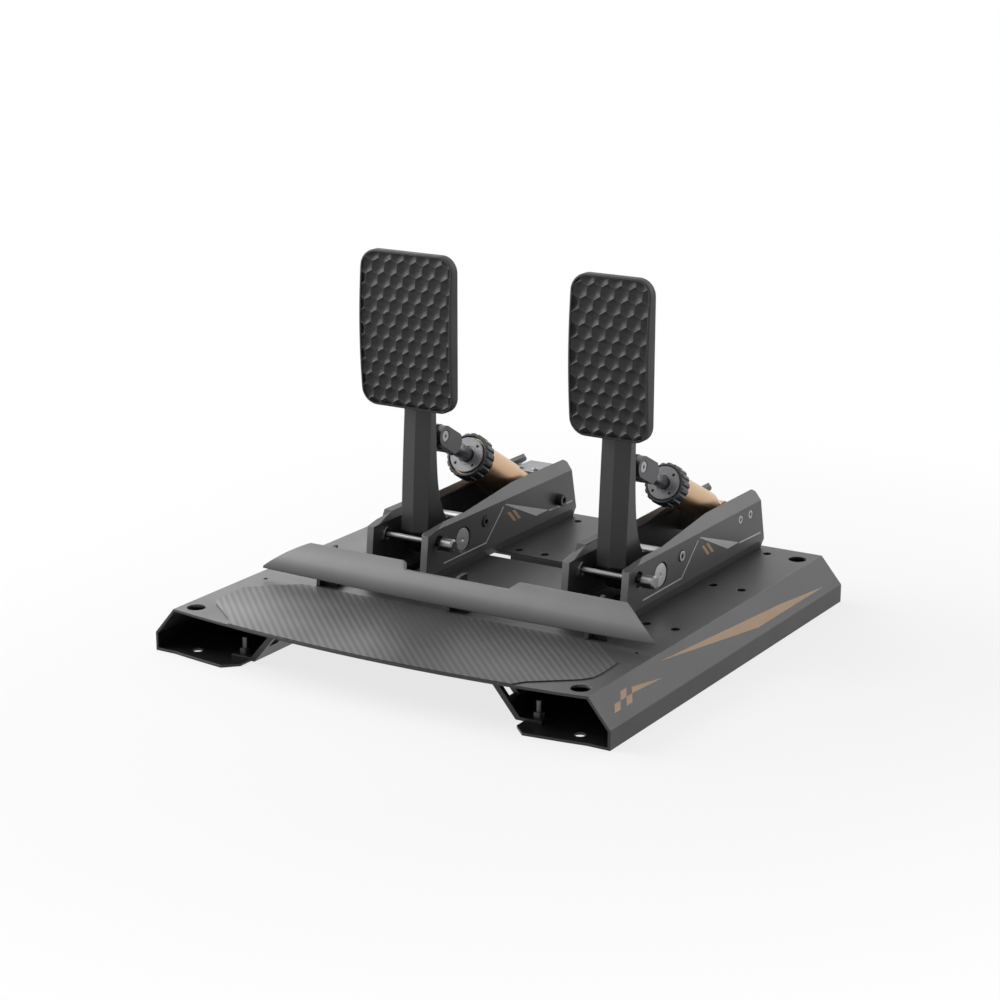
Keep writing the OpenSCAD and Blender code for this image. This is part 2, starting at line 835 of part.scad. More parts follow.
module frame_nuts() color(c_steel) {
    each_frame() {
        translate([-frame_gap / 2, tie_u, tie_w])
            rotate([0, 90, 0])
                difference() {
                    cylinder(h = rod_nut_h, d = rod_nut_d, $fn = 6);
                    translate([0, 0, -1])
                        cylinder(h = rod_nut_h + 2, d = tie_d + 2 * run_fit);
                    translate([0, 0, rod_nut_h / 2])
                        cylinder(h = rod_nut_h, d = rod_nut_d * 0.66);
                }
        translate([-frame_w / 2, tube_u, tube_w])
            rotate([0, -90, 0])
                hex_nut(tie_d, nut_h);
    }
}

/* Pivot */

module pivot_bearings() color(c_steel) {
    each_frame()
        for (s = [-1, 1])
            translate([s * frame_gap / 2, pivot_u, pivot_w])
                rotate([0, s * 90, 0])
                    rotate_extrude()
                        polygon([
                            [axle_d / 2, 0], [bearing_d / 2, 0], [bearing_d / 2, bearing_w],
                            [bearing_d / 2 - 1.4, bearing_w], [bearing_d / 2 - 1.6, bearing_w - 0.5],
                            [axle_d / 2 + 1.6, bearing_w - 0.5], [axle_d / 2 + 1.4, bearing_w], [axle_d / 2, bearing_w]
                        ]);
}

module pivot_axle(k) {
    head_at = frame_gap / 2 + bearing_w + 0.2;
    head_r = bearing_d / 2 - 1.4;
    in_frame(k)
        difference() {
            union() {
                bar_x(axle_d / 2 - run_fit, -frame_w / 2, head_at + 1, pivot_u, pivot_w);
                bar_x(head_r, head_at, head_at + 1.2, pivot_u, pivot_w);
            }
            bar_x(1.5, head_at + 0.4, head_at + 3, pivot_u, pivot_w);
        }
}

/* Pedal arms */

function arm_ws() = [for (i = [0:arm_steps]) arm_foot_w + (arm_mid_w - arm_foot_w) * i / arm_steps];
function flare_ws() = [for (i = [arm_steps:-1:0]) flare_from - 4 + (arm_mid_w - flare_from) * i / arm_steps];

// Where a screw's head seats on the arm's back, clear of the flare below it
function arm_seat(w) = back_u(bracket_mid + w - arm_screw_d * head_ratio / 2) + run_fit;

// Everything behind the arm's front line
module arm_front_line() {
    polygon(concat(
        [[arm_top, 0], [arm_foot_u + 14, 0], [arm_foot_u + 8, arm_foot_w - 9], [arm_foot_u + 0.5, arm_foot_w - 2]],
        [for (w = arm_ws()) [ridge_u(w), w]],
        [[ridge_u(arm_mid_w), arm_top], [arm_top, arm_top]]
    ));
}

module arm_side() {
    polygon(concat(
        [for (w = arm_ws()) [ridge_u(w), w]],
        [[ridge_u(arm_mid_w), arm_top], [arm_back_u, arm_top]],
        [for (w = flare_ws()) [back_u(w), w]],
        [[pivot_u, pivot_w], [arm_foot_u + 8, arm_foot_w - 9], [arm_foot_u + 0.5, arm_foot_w - 2]]
    ));
    translate([pivot_u, pivot_w])
        circle(r = hub_r);
}

module ear_side(k) {
    difference() {
        union() {
            polygon([
                [arm_back_u - 4, pin_w[k] + ear_r + 4], [pin_u[k], pin_w[k] + ear_r],
                [pin_u[k], pin_w[k] - ear_r], [arm_back_u - 4, pin_w[k] - ear_r - 8]
            ]);
            translate([pin_u[k], pin_w[k]])
                circle(r = ear_r);
        }
        translate([pin_u[k], pin_w[k]])
            circle(d = fork_pin_d + 2 * ear_play);
    }
}

// Everything behind one of the two slanted front faces that meet in the arm's ridge
module arm_front(turn) {
    translate([0, arm_foot_u, 0])
        rotate([0, 0, turn])
            translate([0, -arm_foot_u, 0])
                across(3 * arm_w)
                    arm_front_line();
}

module pedal_arm(k) {
    slope = atan2(ridge, arm_w / 2);
    in_frame(k)
        difference() {
            union() {
                intersection() {
                    across(arm_w)
                        arm_side();
                    arm_front(slope);
                    arm_front(-slope);
                }
                across(ear_t)
                    ear_side(k);
                bar_x(boss_r, -frame_gap / 2 + side_gap, frame_gap / 2 - side_gap, pivot_u, pivot_w);
            }
            bar_x(axle_d / 2, -frame_gap, frame_gap, pivot_u, pivot_w);
            translate([-arm_w, 0, flat_from])
                cube([2 * arm_w, face_back_u + bracket_t, arm_top]);
            for (w = [-arm_screw_w, arm_screw_w])
                translate([0, arm_back_u + 1, bracket_mid + w])
                    rotate([90, 0, 0])
                        cylinder(h = 20, d = arm_screw_d + 2 * bolt_fit);
        }
}

/* Pedal faces */

face_w = [brake_face_w, throttle_face_w];
face_shift = [0, 1.2];
crown_r = (pow(face_h / 2, 2) + pow(crown, 2)) / (2 * crown);
face_rim = 2.6;
pit_step = pit_pitch * sin(60);
pit_shift = [3.6, -1.6];
pit_rows = ceil(face_h / pit_step / 2);
function front_u(h) = face_back_u - face_t - crown + crown_r - sqrt(pow(crown_r, 2) - pow(h, 2));

// Rounded rectangle centred on the origin
module rounded(w, h, r) {
    square([w - 2 * r, h], center = true);
    square([w, h - 2 * r], center = true);
    for (x = [-1, 1], y = [-1, 1])
        translate([x * (w / 2 - r), y * (h / 2 - r)])
            circle(r = r);
}

// A profile of X and height above the face's middle, cut along Y between two depths
module along_y(k, u0, u1) {
    translate([face_shift[k], u1, face_mid])
        rotate([90, 0, 0])
            linear_extrude(u1 - u0)
                children();
}

module pit_row(k, j) {
    cols = ceil(face_w[k] / pit_pitch / 2);
    h = j * pit_step + pit_shift[1];
    floor_u = front_u(min(abs(h), face_h / 2)) + pit_depth;
    along_y(k, floor_u - pit_depth - crown, floor_u)
        intersection() {
            rounded(face_w[k] - 2 * face_rim, face_h - 2 * face_rim, face_r - face_rim);
            for (i = [-cols - 1:cols])
                translate([(i + abs(j % 2) / 2) * pit_pitch + pit_shift[0], h])
                    rotate(30)
                        circle(d = (pit_pitch - pit_rib) * hex_across, $fn = 6);
        }
}

module pedal_face(k) {
    in_frame(k)
        difference() {
            intersection() {
                along_y(k, 0, face_back_u)
                    rounded(face_w[k], face_h, face_r);
                translate([face_shift[k], 0, face_mid])
                    across(2 * face_w[k])
                        polygon(concat(
                            [for (i = [-12:12]) [front_u(i / 24 * face_h), i / 24 * face_h]],
                            [[face_back_u + 5, face_h / 2], [face_back_u + 5, -face_h / 2]]
                        ));
            }
            for (j = [-pit_rows:pit_rows])
                pit_row(k, j);
            for (x = [-bracket_screw_x, bracket_screw_x], w = [-bracket_screw_w, bracket_screw_w])
                translate([x, face_back_u + 1, bracket_mid + w])
                    rotate([90, 0, 0])
                        cylinder(h = 6, d = face_screw_d + 2 * bolt_fit);
        }
}

module face_bracket(k) {
    t = bracket_t;
    in_frame(k)
        difference() {
            translate([-bracket_w / 2, face_back_u, bracket_mid - bracket_h / 2])
                cube([bracket_w, t, bracket_h]);
            for (x = [-bracket_screw_x, bracket_screw_x], w = [-bracket_screw_w, bracket_screw_w])
                translate([x, face_back_u + t + 1, bracket_mid + w])
                    rotate([90, 0, 0])
                        cylinder(h = t + 2, d = face_screw_d + 2 * bolt_fit);
            for (w = [-arm_screw_w, arm_screw_w])
                translate([0, face_back_u + t + 1, bracket_mid + w])
                    rotate([90, 0, 0])
                        cylinder(h = t + 2, d = arm_screw_d + 2 * bolt_fit);
        }
}

module face_screws(k) {
    t = bracket_t;
    in_frame(k) {
        for (x = [-bracket_screw_x, bracket_screw_x], w = [-bracket_screw_w, bracket_screw_w])
            translate([x, face_back_u + t, bracket_mid + w])
                rotate([-90, 0, 0])
                    socket_screw(face_screw_d, t + 4, 3);
        for (w = [-arm_screw_w, arm_screw_w])
            translate([0, arm_seat(w), bracket_mid + w])
                rotate([-90, 0, 0])
                    socket_screw(arm_screw_d, arm_seat(w) - face_back_u - 0.5, 4);
    }
}

/* Sensors */

function sensor_side() = [
    [pivot_u - sensor_half, sensor_low], [pivot_u + sensor_half, sensor_low],
    [pivot_u + sensor_half, sensor_shoulder], [pivot_u + sensor_half_top, sensor_top],
    [pivot_u - sensor_half_top, sensor_top], [pivot_u - sensor_half, sensor_shoulder]
];

module sensor_housing(k) {
    face = -frame_w / 2;
    in_frame(k)
        difference() {
            translate([face - sensor_t / 2, 0, 0])
                across(sensor_t)
                    polygon(sensor_side());
            bar_x(sensor_bore_r, face - sensor_t + sensor_wall, face + 1, pivot_u, pivot_w);
            translate([face - sensor_t / 2 - 2, pivot_u + sensor_half - 3, 12])
                cube([4, 4, 9]);
        }
}

module sensor_board(k) {
    in_frame(k)
        translate([-frame_w / 2 - sensor_t + sensor_wall + 0.2, pivot_u - board_side / 2, pivot_w - board_side / 2]) {
            cube([board_t, board_side, board_side]);
            translate([board_t, board_side / 2 - 2.5, board_side / 2 - 2.5])
                cube([1, 5, 5]);
        }
}

module sensor_magnet(k) {
    in_frame(k)
        bar_x(magnet_r, -frame_w / 2 - magnet_t, -frame_w / 2, pivot_u, pivot_w);
}

/* Dampers */

module damper_cylinder(k) {
    r = cyl_r[k];
    tail_r = r - tail_drop;
    start = cap_at[k] + cap_t;
    bottom = groove_at[k] - 6;
    on_damper(k) {
        difference() {
            union() {
                rotate_extrude()
                    polygon([
                        [0, start], [r, start], [r, groove_at[k]],
                        [r - groove_depth - 0.6, groove_at[k] + groove_w / 2],
                        [tail_r, groove_at[k] + groove_w], [tail_r, flat_at[k] - 2],
                        [tail_r - 2, flat_at[k]], [0, flat_at[k]]
                    ]);
                intersection() {
                    translate([0, 0, flat_at[k] - 1])
                        cylinder(h = damper_len[k] - flat_at[k] + 1, r = eye_r[k]);
                    translate([-eye_half, -eye_r[k], 0])
                        cube([2 * eye_half, 2 * eye_r[k], damper_len[k]]);
                }
                bar_x(eye_r[k], -eye_half, eye_half, 0, damper_len[k]);
            }
            translate([0, 0, start - 1])
                cylinder(h = bottom - start + 1, r = bore_r[k]);
            bar_x(rear_pin_d[k] / 2 + run_fit, -eye_half - 1, eye_half + 1, 0, damper_len[k]);
        }
    }
}

module damper_end_cap(k) {
    face = cap_at[k];
    on_damper(k)
        difference() {
            rotate_extrude()
                polygon([
                    [rod_r[k] + run_fit, face + 1], [rod_r[k] + 1.2, face + 1], [rod_r[k] + 1.2, face - 0.3],
                    [rod_r[k] + 2.2, face - 0.3], [rod_r[k] + 2.2, face], [cap_r[k] - 0.6, face], [cap_r[k], face + 0.6],
                    [cap_r[k], face + cap_t], [bore_r[k] - run_fit, face + cap_t],
                    [bore_r[k] - run_fit, face + cap_t + cap_spigot], [rod_r[k] + run_fit, face + cap_t + cap_spigot]
                ]);
            for (a = [45:90:315])
                rotate([0, 0, a])
                    translate([cap_r[k] * 0.76, 0, face - 1])
                        cylinder(h = 3.4, r = 1.2);
        }
}

module preload_ring(k) {
    from = cap_at[k] + 0.8;
    lip_r = max(cap_r[k], cyl_r[k]) + 0.5;
    r = ring_r[k];
    on_damper(k)
        difference() {
            rotate_extrude()
                polygon([
                    [lip_r, from], [r - 1.6, from], [r, from + 1.6], [r, from + ring_len - 1.2],
                    [r - 1.2, from + ring_len], [cyl_r[k] + run_fit, from + ring_len],
                    [cyl_r[k] + run_fit, from + 3.4], [lip_r, from + 3.4]
                ]);
            for (i = [0:ring_notches - 1])
                rotate([0, 0, i * 360 / ring_notches])
                    translate([r + notch_r - notch_depth, 0, from - 1])
                        cylinder(h = ring_len + 2, r = notch_r, $fn = 24);
        }
}

module piston_rod(k) {
    piston_at = cap_at[k] + cap_t + cap_spigot + piston_gap;
    on_damper(k)
        rotate_extrude()
            polygon([
                [0, fork_slot + 1], [rod_r[k] - 1, fork_slot + 1], [rod_r[k] - 1, fork_end],
                [rod_r[k] + collar_proud - 0.6, fork_end], [rod_r[k] + collar_proud, fork_end + 0.6],
                [rod_r[k] + collar_proud, fork_end + collar_len], [rod_r[k], fork_end + collar_len + 1],
                [rod_r[k], piston_at], [bore_r[k] - run_fit, piston_at], [bore_r[k] - run_fit, piston_at + piston_len],
                [0, piston_at + piston_len]
            ]);
}

module rod_fork(k) {
    half = fork_h / 2;
    slot = ear_t / 2 + side_gap;
    on_damper(k)
        difference() {
            across(fork_w)
                union() {
                    circle(r = half);
                    polygon([
                        [-half, 0], [half, 0], [half, fork_end - fork_chamfer], [half - fork_chamfer, fork_end],
                        [fork_chamfer - half, fork_end], [-half, fork_end - fork_chamfer]
                    ]);
                }
            translate([-slot, -fork_h, -fork_h])
                cube([2 * slot, 2 * fork_h, fork_h + fork_slot]);
            translate([0, 0, fork_slot - 1])
                cylinder(h = fork_end, r = rod_r[k] - 1 + run_fit);
            bar_x(fork_pin_d / 2, -fork_w, fork_w, 0, 0);
            bar_x(pin_head_r + 0.5, fork_w / 2 - pin_head_sink, fork_w, 0, 0);
        }
}

module fork_pin(k) {
    on_damper(k)
        difference() {
            union() {
                bar_x(fork_pin_d / 2, -fork_w / 2, fork_w / 2 - pin_head_sink, 0, 0);
                bar_x(pin_head_r, fork_w / 2 - pin_head_sink, fork_w / 2 - pin_head_sink + pin_head_t, 0, 0);
            }
            bar_x(1.6, fork_w / 2 - pin_head_sink + 0.5, fork_w, 0, 0, $fn = 6);
        }
}

// Rubber rings and steel discs that the brake's piston presses together
stack_count = 4;
disc_t = 2;

module rubber_stack() {
    from = cap_at[BRAKE] + cap_t + cap_spigot + piston_gap + piston_len + seat_gap;
    to = groove_at[BRAKE] - 6 - seat_gap;
    pitch = (to - from) / stack_count;
    on_damper(BRAKE)
        for (i = [0:stack_count - 1])
            translate([0, 0, from + i * pitch]) {
                rotate_extrude()
                    polygon(concat(
                        [[4, 0], [bore_r[BRAKE] - 2.5, 0]],
                        arc(bore_r[BRAKE] - 3.5, (pitch - disc_t) / 2, 2, -60, 60, 6),
                        [[bore_r[BRAKE] - 2.5, pitch - disc_t - seat_gap], [4, pitch - disc_t - seat_gap]]
                    ));
                translate([0, 0, pitch - disc_t])
                    difference() {
                        cylinder(h = disc_t - seat_gap, r = bore_r[BRAKE] - 0.4);
                        translate([0, 0, -1])
                            cylinder(h = disc_t + 2, r = 4);
                    }
            }
}

// Unbroken six-sided wire along a helix with flat ends
function coil_point(turn, r, from, length, n, flat) =
    [r * cos(turn * 360), r * sin(turn * 360), from + length * max(0, min(1, (turn - flat) / (n - 2 * flat)))];

module return_spring() {
    k = THROTTLE;
    n = curls;
    steps = n * 8;
    mean_r = bore_r[k] - wire_d / 2 - 0.5;
    from = cap_at[k] + cap_t + cap_spigot + piston_gap + piston_len + wire_d / 2 + seat_gap;
    to = groove_at[k] - 6 - wire_d / 2 - seat_gap;
    centres = [for (i = [0:steps]) coil_point(i / 8, mean_r, from, to - from, n, 0)];
    rings = [for (i = [0:steps]) let (a = i * 45)
        [for (j = [0:5]) let (b = j * 60)
            centres[i] + wire_d / 2 * [cos(b) * cos(a), cos(b) * sin(a), sin(b)]]];
    points = [for (ring = rings, p = ring) p];
    sides = [for (i = [0:steps - 1], j = [0:5]) let (a = i * 6 + j, b = i * 6 + (j + 1) % 6)
        each [[a, a + 6, b], [b, a + 6, b + 6]]];
    caps = [[0, 1, 2], [0, 2, 3], [0, 3, 4], [0, 4, 5],
        for (j = [1:4]) [steps * 6, steps * 6 + j + 1, steps * 6 + j]];
    echo("spring gap between curls", (to - from) / n - wire_d);
    on_damper(k)
        polyhedron(points = points, faces = concat(sides, caps));
}

// Load cell block between the brake's side plates, with a roof over the damper's eye
cell_u = [-13, 20];
cell_top = 34;
roof_w = [41.5, 45];
roof_half = 12.5;
roof_u = [-8, 24];
roof_screw_x = 7;
roof_screw_d = 3;

module load_cell() {
    u = rear_u[BRAKE];
    w = rear_w[BRAKE];
    slot = eye_half + side_gap;
    in_frame(BRAKE)
        difference() {
            union() {
                across(frame_gap)
                    polygon([
                        [u + cell_u[0], web_low], [u + cell_u[1], web_low], [u + cell_u[1], cell_top],
                        [u - 2, cell_top], [u + cell_u[0], cell_top - 12]
                    ]);
                across(2 * roof_half)
                    polygon([
                        [u + roof_u[0], cell_top - 6], [u + roof_u[1], cell_top - 6],
                        [u + roof_u[1], roof_w[1]], [u + roof_u[0], roof_w[1]]
                    ]);
            }
            translate([-slot, u - 20, 0])
                cube([2 * slot, 34, roof_w[0]]);
            bar_x(rear_pin_d[BRAKE] / 2 + bolt_fit, -frame_gap, frame_gap, u, w);
            for (x = [-roof_screw_x, roof_screw_x])
                translate([x, u - 2, roof_w[0] - 1])
                    cylinder(h = 6, d = roof_screw_d);
        }
}

module load_cell_screws() {
    in_frame(BRAKE)
        for (x = [-roof_screw_x, roof_screw_x])
            translate([x, rear_u[BRAKE] - 2, roof_w[1]])
                socket_screw(roof_screw_d, 3.4, 1.6);
}

module rear_bolt() {
    in_frame(BRAKE)
        translate([frame_w / 2, rear_u[BRAKE], rear_w[BRAKE]])
            rotate([0, 90, 0])
                socket_screw(rear_pin_d[BRAKE], frame_w + 6, 6);
}

module rear_nut() {
    in_frame(BRAKE)
        translate([-frame_w / 2, rear_u[BRAKE], rear_w[BRAKE]])
            rotate([0, -90, 0])
                hex_nut(rear_pin_d[BRAKE], 5);
}

// Fork block that carries the throttle damper's rear eye between the side plates
module rear_mount() {
    k = THROTTLE;
    in_frame(k)
        difference() {
            across(frame_gap)
                polygon([
                    [mount_screw_u[0] - 5, mount_low], [mount_screw_u[1] + 5, mount_low],
                    [mount_screw_u[1] + 5, web_high], [rear_u[k] - 8, web_high], [mount_screw_u[0] - 5, web_high - 4]
                ]);
            translate([-eye_half - side_gap, mount_screw_u[0] - eye_r[k], rear_w[k] - eye_r[k] - 1.5])
                cube([2 * (eye_half + side_gap), 4 * eye_r[k], 4 * eye_r[k]]);
            bar_x(rear_pin_d[k] / 2 + run_fit, -frame_gap, frame_gap, rear_u[k], rear_w[k]);
            for (u = mount_screw_u)
                bar_x(mount_screw_d / 2 + bolt_fit, -frame_gap, frame_gap, u, rear_w[k]);
        }
}

module rear_pin() {
    in_frame(THROTTLE)
        bar_x(rear_pin_d[THROTTLE] / 2, -frame_gap / 2 + 0.2, frame_gap / 2 - 0.2, rear_u[THROTTLE], rear_w[THROTTLE]);
}

module mount_screws() {
    in_frame(THROTTLE)
        for (s = [-1, 1], u = mount_screw_u)
            translate([s * (frame_w / 2 - 2), u, rear_w[THROTTLE]])
                rotate([0, s * 90, 0])
                    socket_screw(mount_screw_d, plate_t + 6, 2);
}

base_plate();
foot_grip_sheet();
heel_stop();
heel_stop_brackets();
heel_stop_screws();
left_deck_brace();
right_deck_brace();
brace_studs();
brace_nuts();
controller_box();
controller_board();
controller_screws();
deck_bolts();
tie_rods();
spacer_tubes();
frame_nuts();
pivot_bearings();
color(c_frame) side_plate(BRAKE, -1);  // brake_left_side_plate
color(c_frame) side_plate(BRAKE, 1);  // brake_right_side_plate
color(c_black) frame_screw(BRAKE);  // brake_frame_screw
color(c_steel) pivot_axle(BRAKE);  // brake_pivot_axle
color(c_frame) pedal_arm(BRAKE);  // brake_pedal_arm
color(c_black) face_bracket(BRAKE);  // brake_face_bracket
color(c_black) pedal_face(BRAKE);  // brake_pedal_face
color(c_black) face_screws(BRAKE);  // brake_face_screws
color(c_frame) sensor_housing(BRAKE);  // brake_sensor_housing
color(c_board) sensor_board(BRAKE);  // brake_sensor_board
color(c_steel) sensor_magnet(BRAKE);  // brake_sensor_magnet
color(c_bronze) damper_cylinder(BRAKE);  // brake_damper_cylinder
color(c_steel) damper_end_cap(BRAKE);  // brake_damper_end_cap
color(c_black) preload_ring(BRAKE);  // brake_preload_ring
color(c_steel) piston_rod(BRAKE);  // brake_piston_rod
color(c_frame) rod_fork(BRAKE);  // brake_rod_fork
color(c_steel) fork_pin(BRAKE);  // brake_fork_pin
color(c_rubber) rubber_stack();  // brake_rubber_stack
color(c_steel) load_cell();  // brake_load_cell
color(c_steel) load_cell_screws();  // brake_load_cell_screws
color(c_black) rear_bolt();  // brake_rear_bolt
color(c_steel) rear_nut();  // brake_rear_nut
color(c_frame) side_plate(THROTTLE, -1);  // throttle_left_side_plate
color(c_frame) side_plate(THROTTLE, 1);  // throttle_right_side_plate
color(c_steel) frame_screw(THROTTLE);  // throttle_frame_screw
color(c_steel) pivot_axle(THROTTLE);  // throttle_pivot_axle
color(c_frame) pedal_arm(THROTTLE);  // throttle_pedal_arm
color(c_black) face_bracket(THROTTLE);  // throttle_face_bracket
color(c_black) pedal_face(THROTTLE);  // throttle_pedal_face
color(c_black) face_screws(THROTTLE);  // throttle_face_screws
color(c_frame) sensor_housing(THROTTLE);  // throttle_sensor_housing
color(c_board) sensor_board(THROTTLE);  // throttle_sensor_board
color(c_steel) sensor_magnet(THROTTLE);  // throttle_sensor_magnet
color(c_bronze) damper_cylinder(THROTTLE);  // throttle_damper_cylinder
color(c_steel) damper_end_cap(THROTTLE);  // throttle_damper_end_cap
color(c_black) preload_ring(THROTTLE);  // throttle_preload_ring
color(c_steel) piston_rod(THROTTLE);  // throttle_piston_rod
color(c_frame) rod_fork(THROTTLE);  // throttle_rod_fork
color(c_steel) fork_pin(THROTTLE);  // throttle_fork_pin
color(c_steel) return_spring();  // throttle_return_spring
color(c_steel) rear_mount();  // throttle_rear_mount
color(c_steel) rear_pin();  // throttle_rear_pin
color(c_steel) mount_screws();  // throttle_mount_screws
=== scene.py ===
import math

import bmesh
import bpy
from mathutils import Matrix, Vector


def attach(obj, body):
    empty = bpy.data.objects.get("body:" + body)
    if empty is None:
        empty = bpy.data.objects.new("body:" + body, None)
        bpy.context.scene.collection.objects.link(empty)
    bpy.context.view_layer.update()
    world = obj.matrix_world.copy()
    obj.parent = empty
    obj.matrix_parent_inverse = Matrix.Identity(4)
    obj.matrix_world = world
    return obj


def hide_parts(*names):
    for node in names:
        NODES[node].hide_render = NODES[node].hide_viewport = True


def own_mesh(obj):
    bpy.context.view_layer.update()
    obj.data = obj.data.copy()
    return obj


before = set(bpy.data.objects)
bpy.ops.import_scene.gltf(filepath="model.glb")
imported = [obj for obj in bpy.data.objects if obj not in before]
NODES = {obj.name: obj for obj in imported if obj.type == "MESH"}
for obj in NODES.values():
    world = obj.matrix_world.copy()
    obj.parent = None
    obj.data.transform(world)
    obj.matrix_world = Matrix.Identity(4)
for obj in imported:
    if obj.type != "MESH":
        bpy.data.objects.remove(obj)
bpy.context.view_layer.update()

MM = 0.001
PEDALS = ("brake", "throttle")

# Places that the construction gives, in millimetres
DECK_TOP = 36.0
SKIRT_TOP = 14.5
HALF_DECK = 180.0
HALF_BASE = 198.0
BASE_FRONT = -185.0
FRAME_FRONT = -41.0
FRAME_X = {"brake": -75.0, "throttle": 102.0}
HALF_FRAME = 28.5

# Damper axes: the fork pin's place, and the direction towards the rear pivot
DAMPER_PIN = {"brake": (-75.0, 18.0, 142.0), "throttle": (102.0, 18.5, 142.0)}
DAMPER_AXIS = {"brake": (0, 0.86529, -0.501271), "throttle": (0, 0.891473, -0.453075)}

# Pads, in millimetres
PAD_X = {"brake": -75.0, "throttle": 103.2}
PAD_WIDTH = {"brake": 84.0, "throttle": 67.0}
PAD_HEIGHT = 122.5
PAD_MIDDLE = 232.0
PAD_BACK = -14.0
PAD_EDGE = 7.1
PAD_CROWN = 4.1
PAD_CORNER = 13.0
PAD_BORDER = 1.7
PAD_ROUND = 0.9
PAD_CHAMFER = 0.6
ROUND_STEPS = 4
CORNER_STEPS = 7

# Pits of the pads, in millimetres
PIT_PITCH = 11.5
PIT_SHIFT = (3.6, -1.1)
PIT_DEEP = 2.9
# Each ring of a pit, as a share of the way from its middle to its ridge
PIT_RINGS = (0.985, 0.88, 0.72, 0.52, 0.26)
# Radius towards which the rings turn round, as a share of the pitch
PIT_ROUND = 0.53

# Spring: how many curls, the wire's radius in metres, the steps along a curl and the sides round the wire
SPRING_CURLS = 9
SPRING_WIRE = 0.0011
STEPS_PER_CURL = 16
WIRE_SIDES = 10

# Thickness of a printed stripe, in millimetres, and the sharpest mitre of a line
STRIPE_THICK = 0.12
LEAST_MITRE = 0.3

# Width of one diagonal band of the foot sheet, in metres
TWILL_PITCH = 0.0051

# Camera: the lens and the sensor in millimetres, the place in metres and the turn in degrees
LENS = 88.99
SENSOR = 36.0
CAMERA_PLACE = (0.95796, -1.56935, 0.62773)
CAMERA_TURN = (74.098, -0.09, 31.531)

# Floor, in metres: half its side, and where the shadow starts and ends to fade into white
FLOOR_HALF = 60.0
SHADOW_REACH = (0.3, 0.75)
FLOOR_COLOUR = (0.82, 0.82, 0.82)
# Share of plain white where the shadow lies, and the world's light on things
SHADOW_WHITE = 0.78
WORLD_LIGHT = 0.12

# Each lamp's place and size in metres, and its power in watts; all of them point at one place
LAMP_AIM = (0, 0, 0.1)
LAMPS = {
    "left key": ((-2.4, -0.3, 1.25), (2.2, 1.6), 80),
    "left back": ((-2.2, 1.9, 0.9), (1.6, 1.4), 10),
    "front left": ((-1.9, -0.8, 1.8), (1.6, 1.6), 20),
    "top": ((0.1, 0.4, 2.3), (2.0, 1.4), 8),
    "back": ((0.4, 2.2, 1.2), (2.0, 0.9), 9),
    "right back": ((2.0, 1.6, 1.2), (1.4, 1.0), 9),
}


# ---------- shader nodes ----------

def new_node(tree, kind, inputs=None, **settings):
    """A shader node whose inputs are given as values, or as the outputs that they are joined to."""
    made = tree.nodes.new(kind)
    for key, value in settings.items():
        setattr(made, key, value)
    for key, value in (inputs or {}).items():
        if isinstance(value, bpy.types.NodeSocket):
            tree.links.new(value, made.inputs[key])
        else:
            made.inputs[key].default_value = value
    return made


def seen_rays(tree):
    """1 for camera, glossy and transmission rays, 0 for the light that falls on things."""
    rays = new_node(tree, "ShaderNodeLightPath").outputs
    total = rays["Is Camera Ray"]
    for name in ("Is Glossy Ray", "Is Transmission Ray"):
        total = new_node(tree, "ShaderNodeMath", {0: total, 1: rays[name]}, operation="MAXIMUM").outputs[0]
    return total


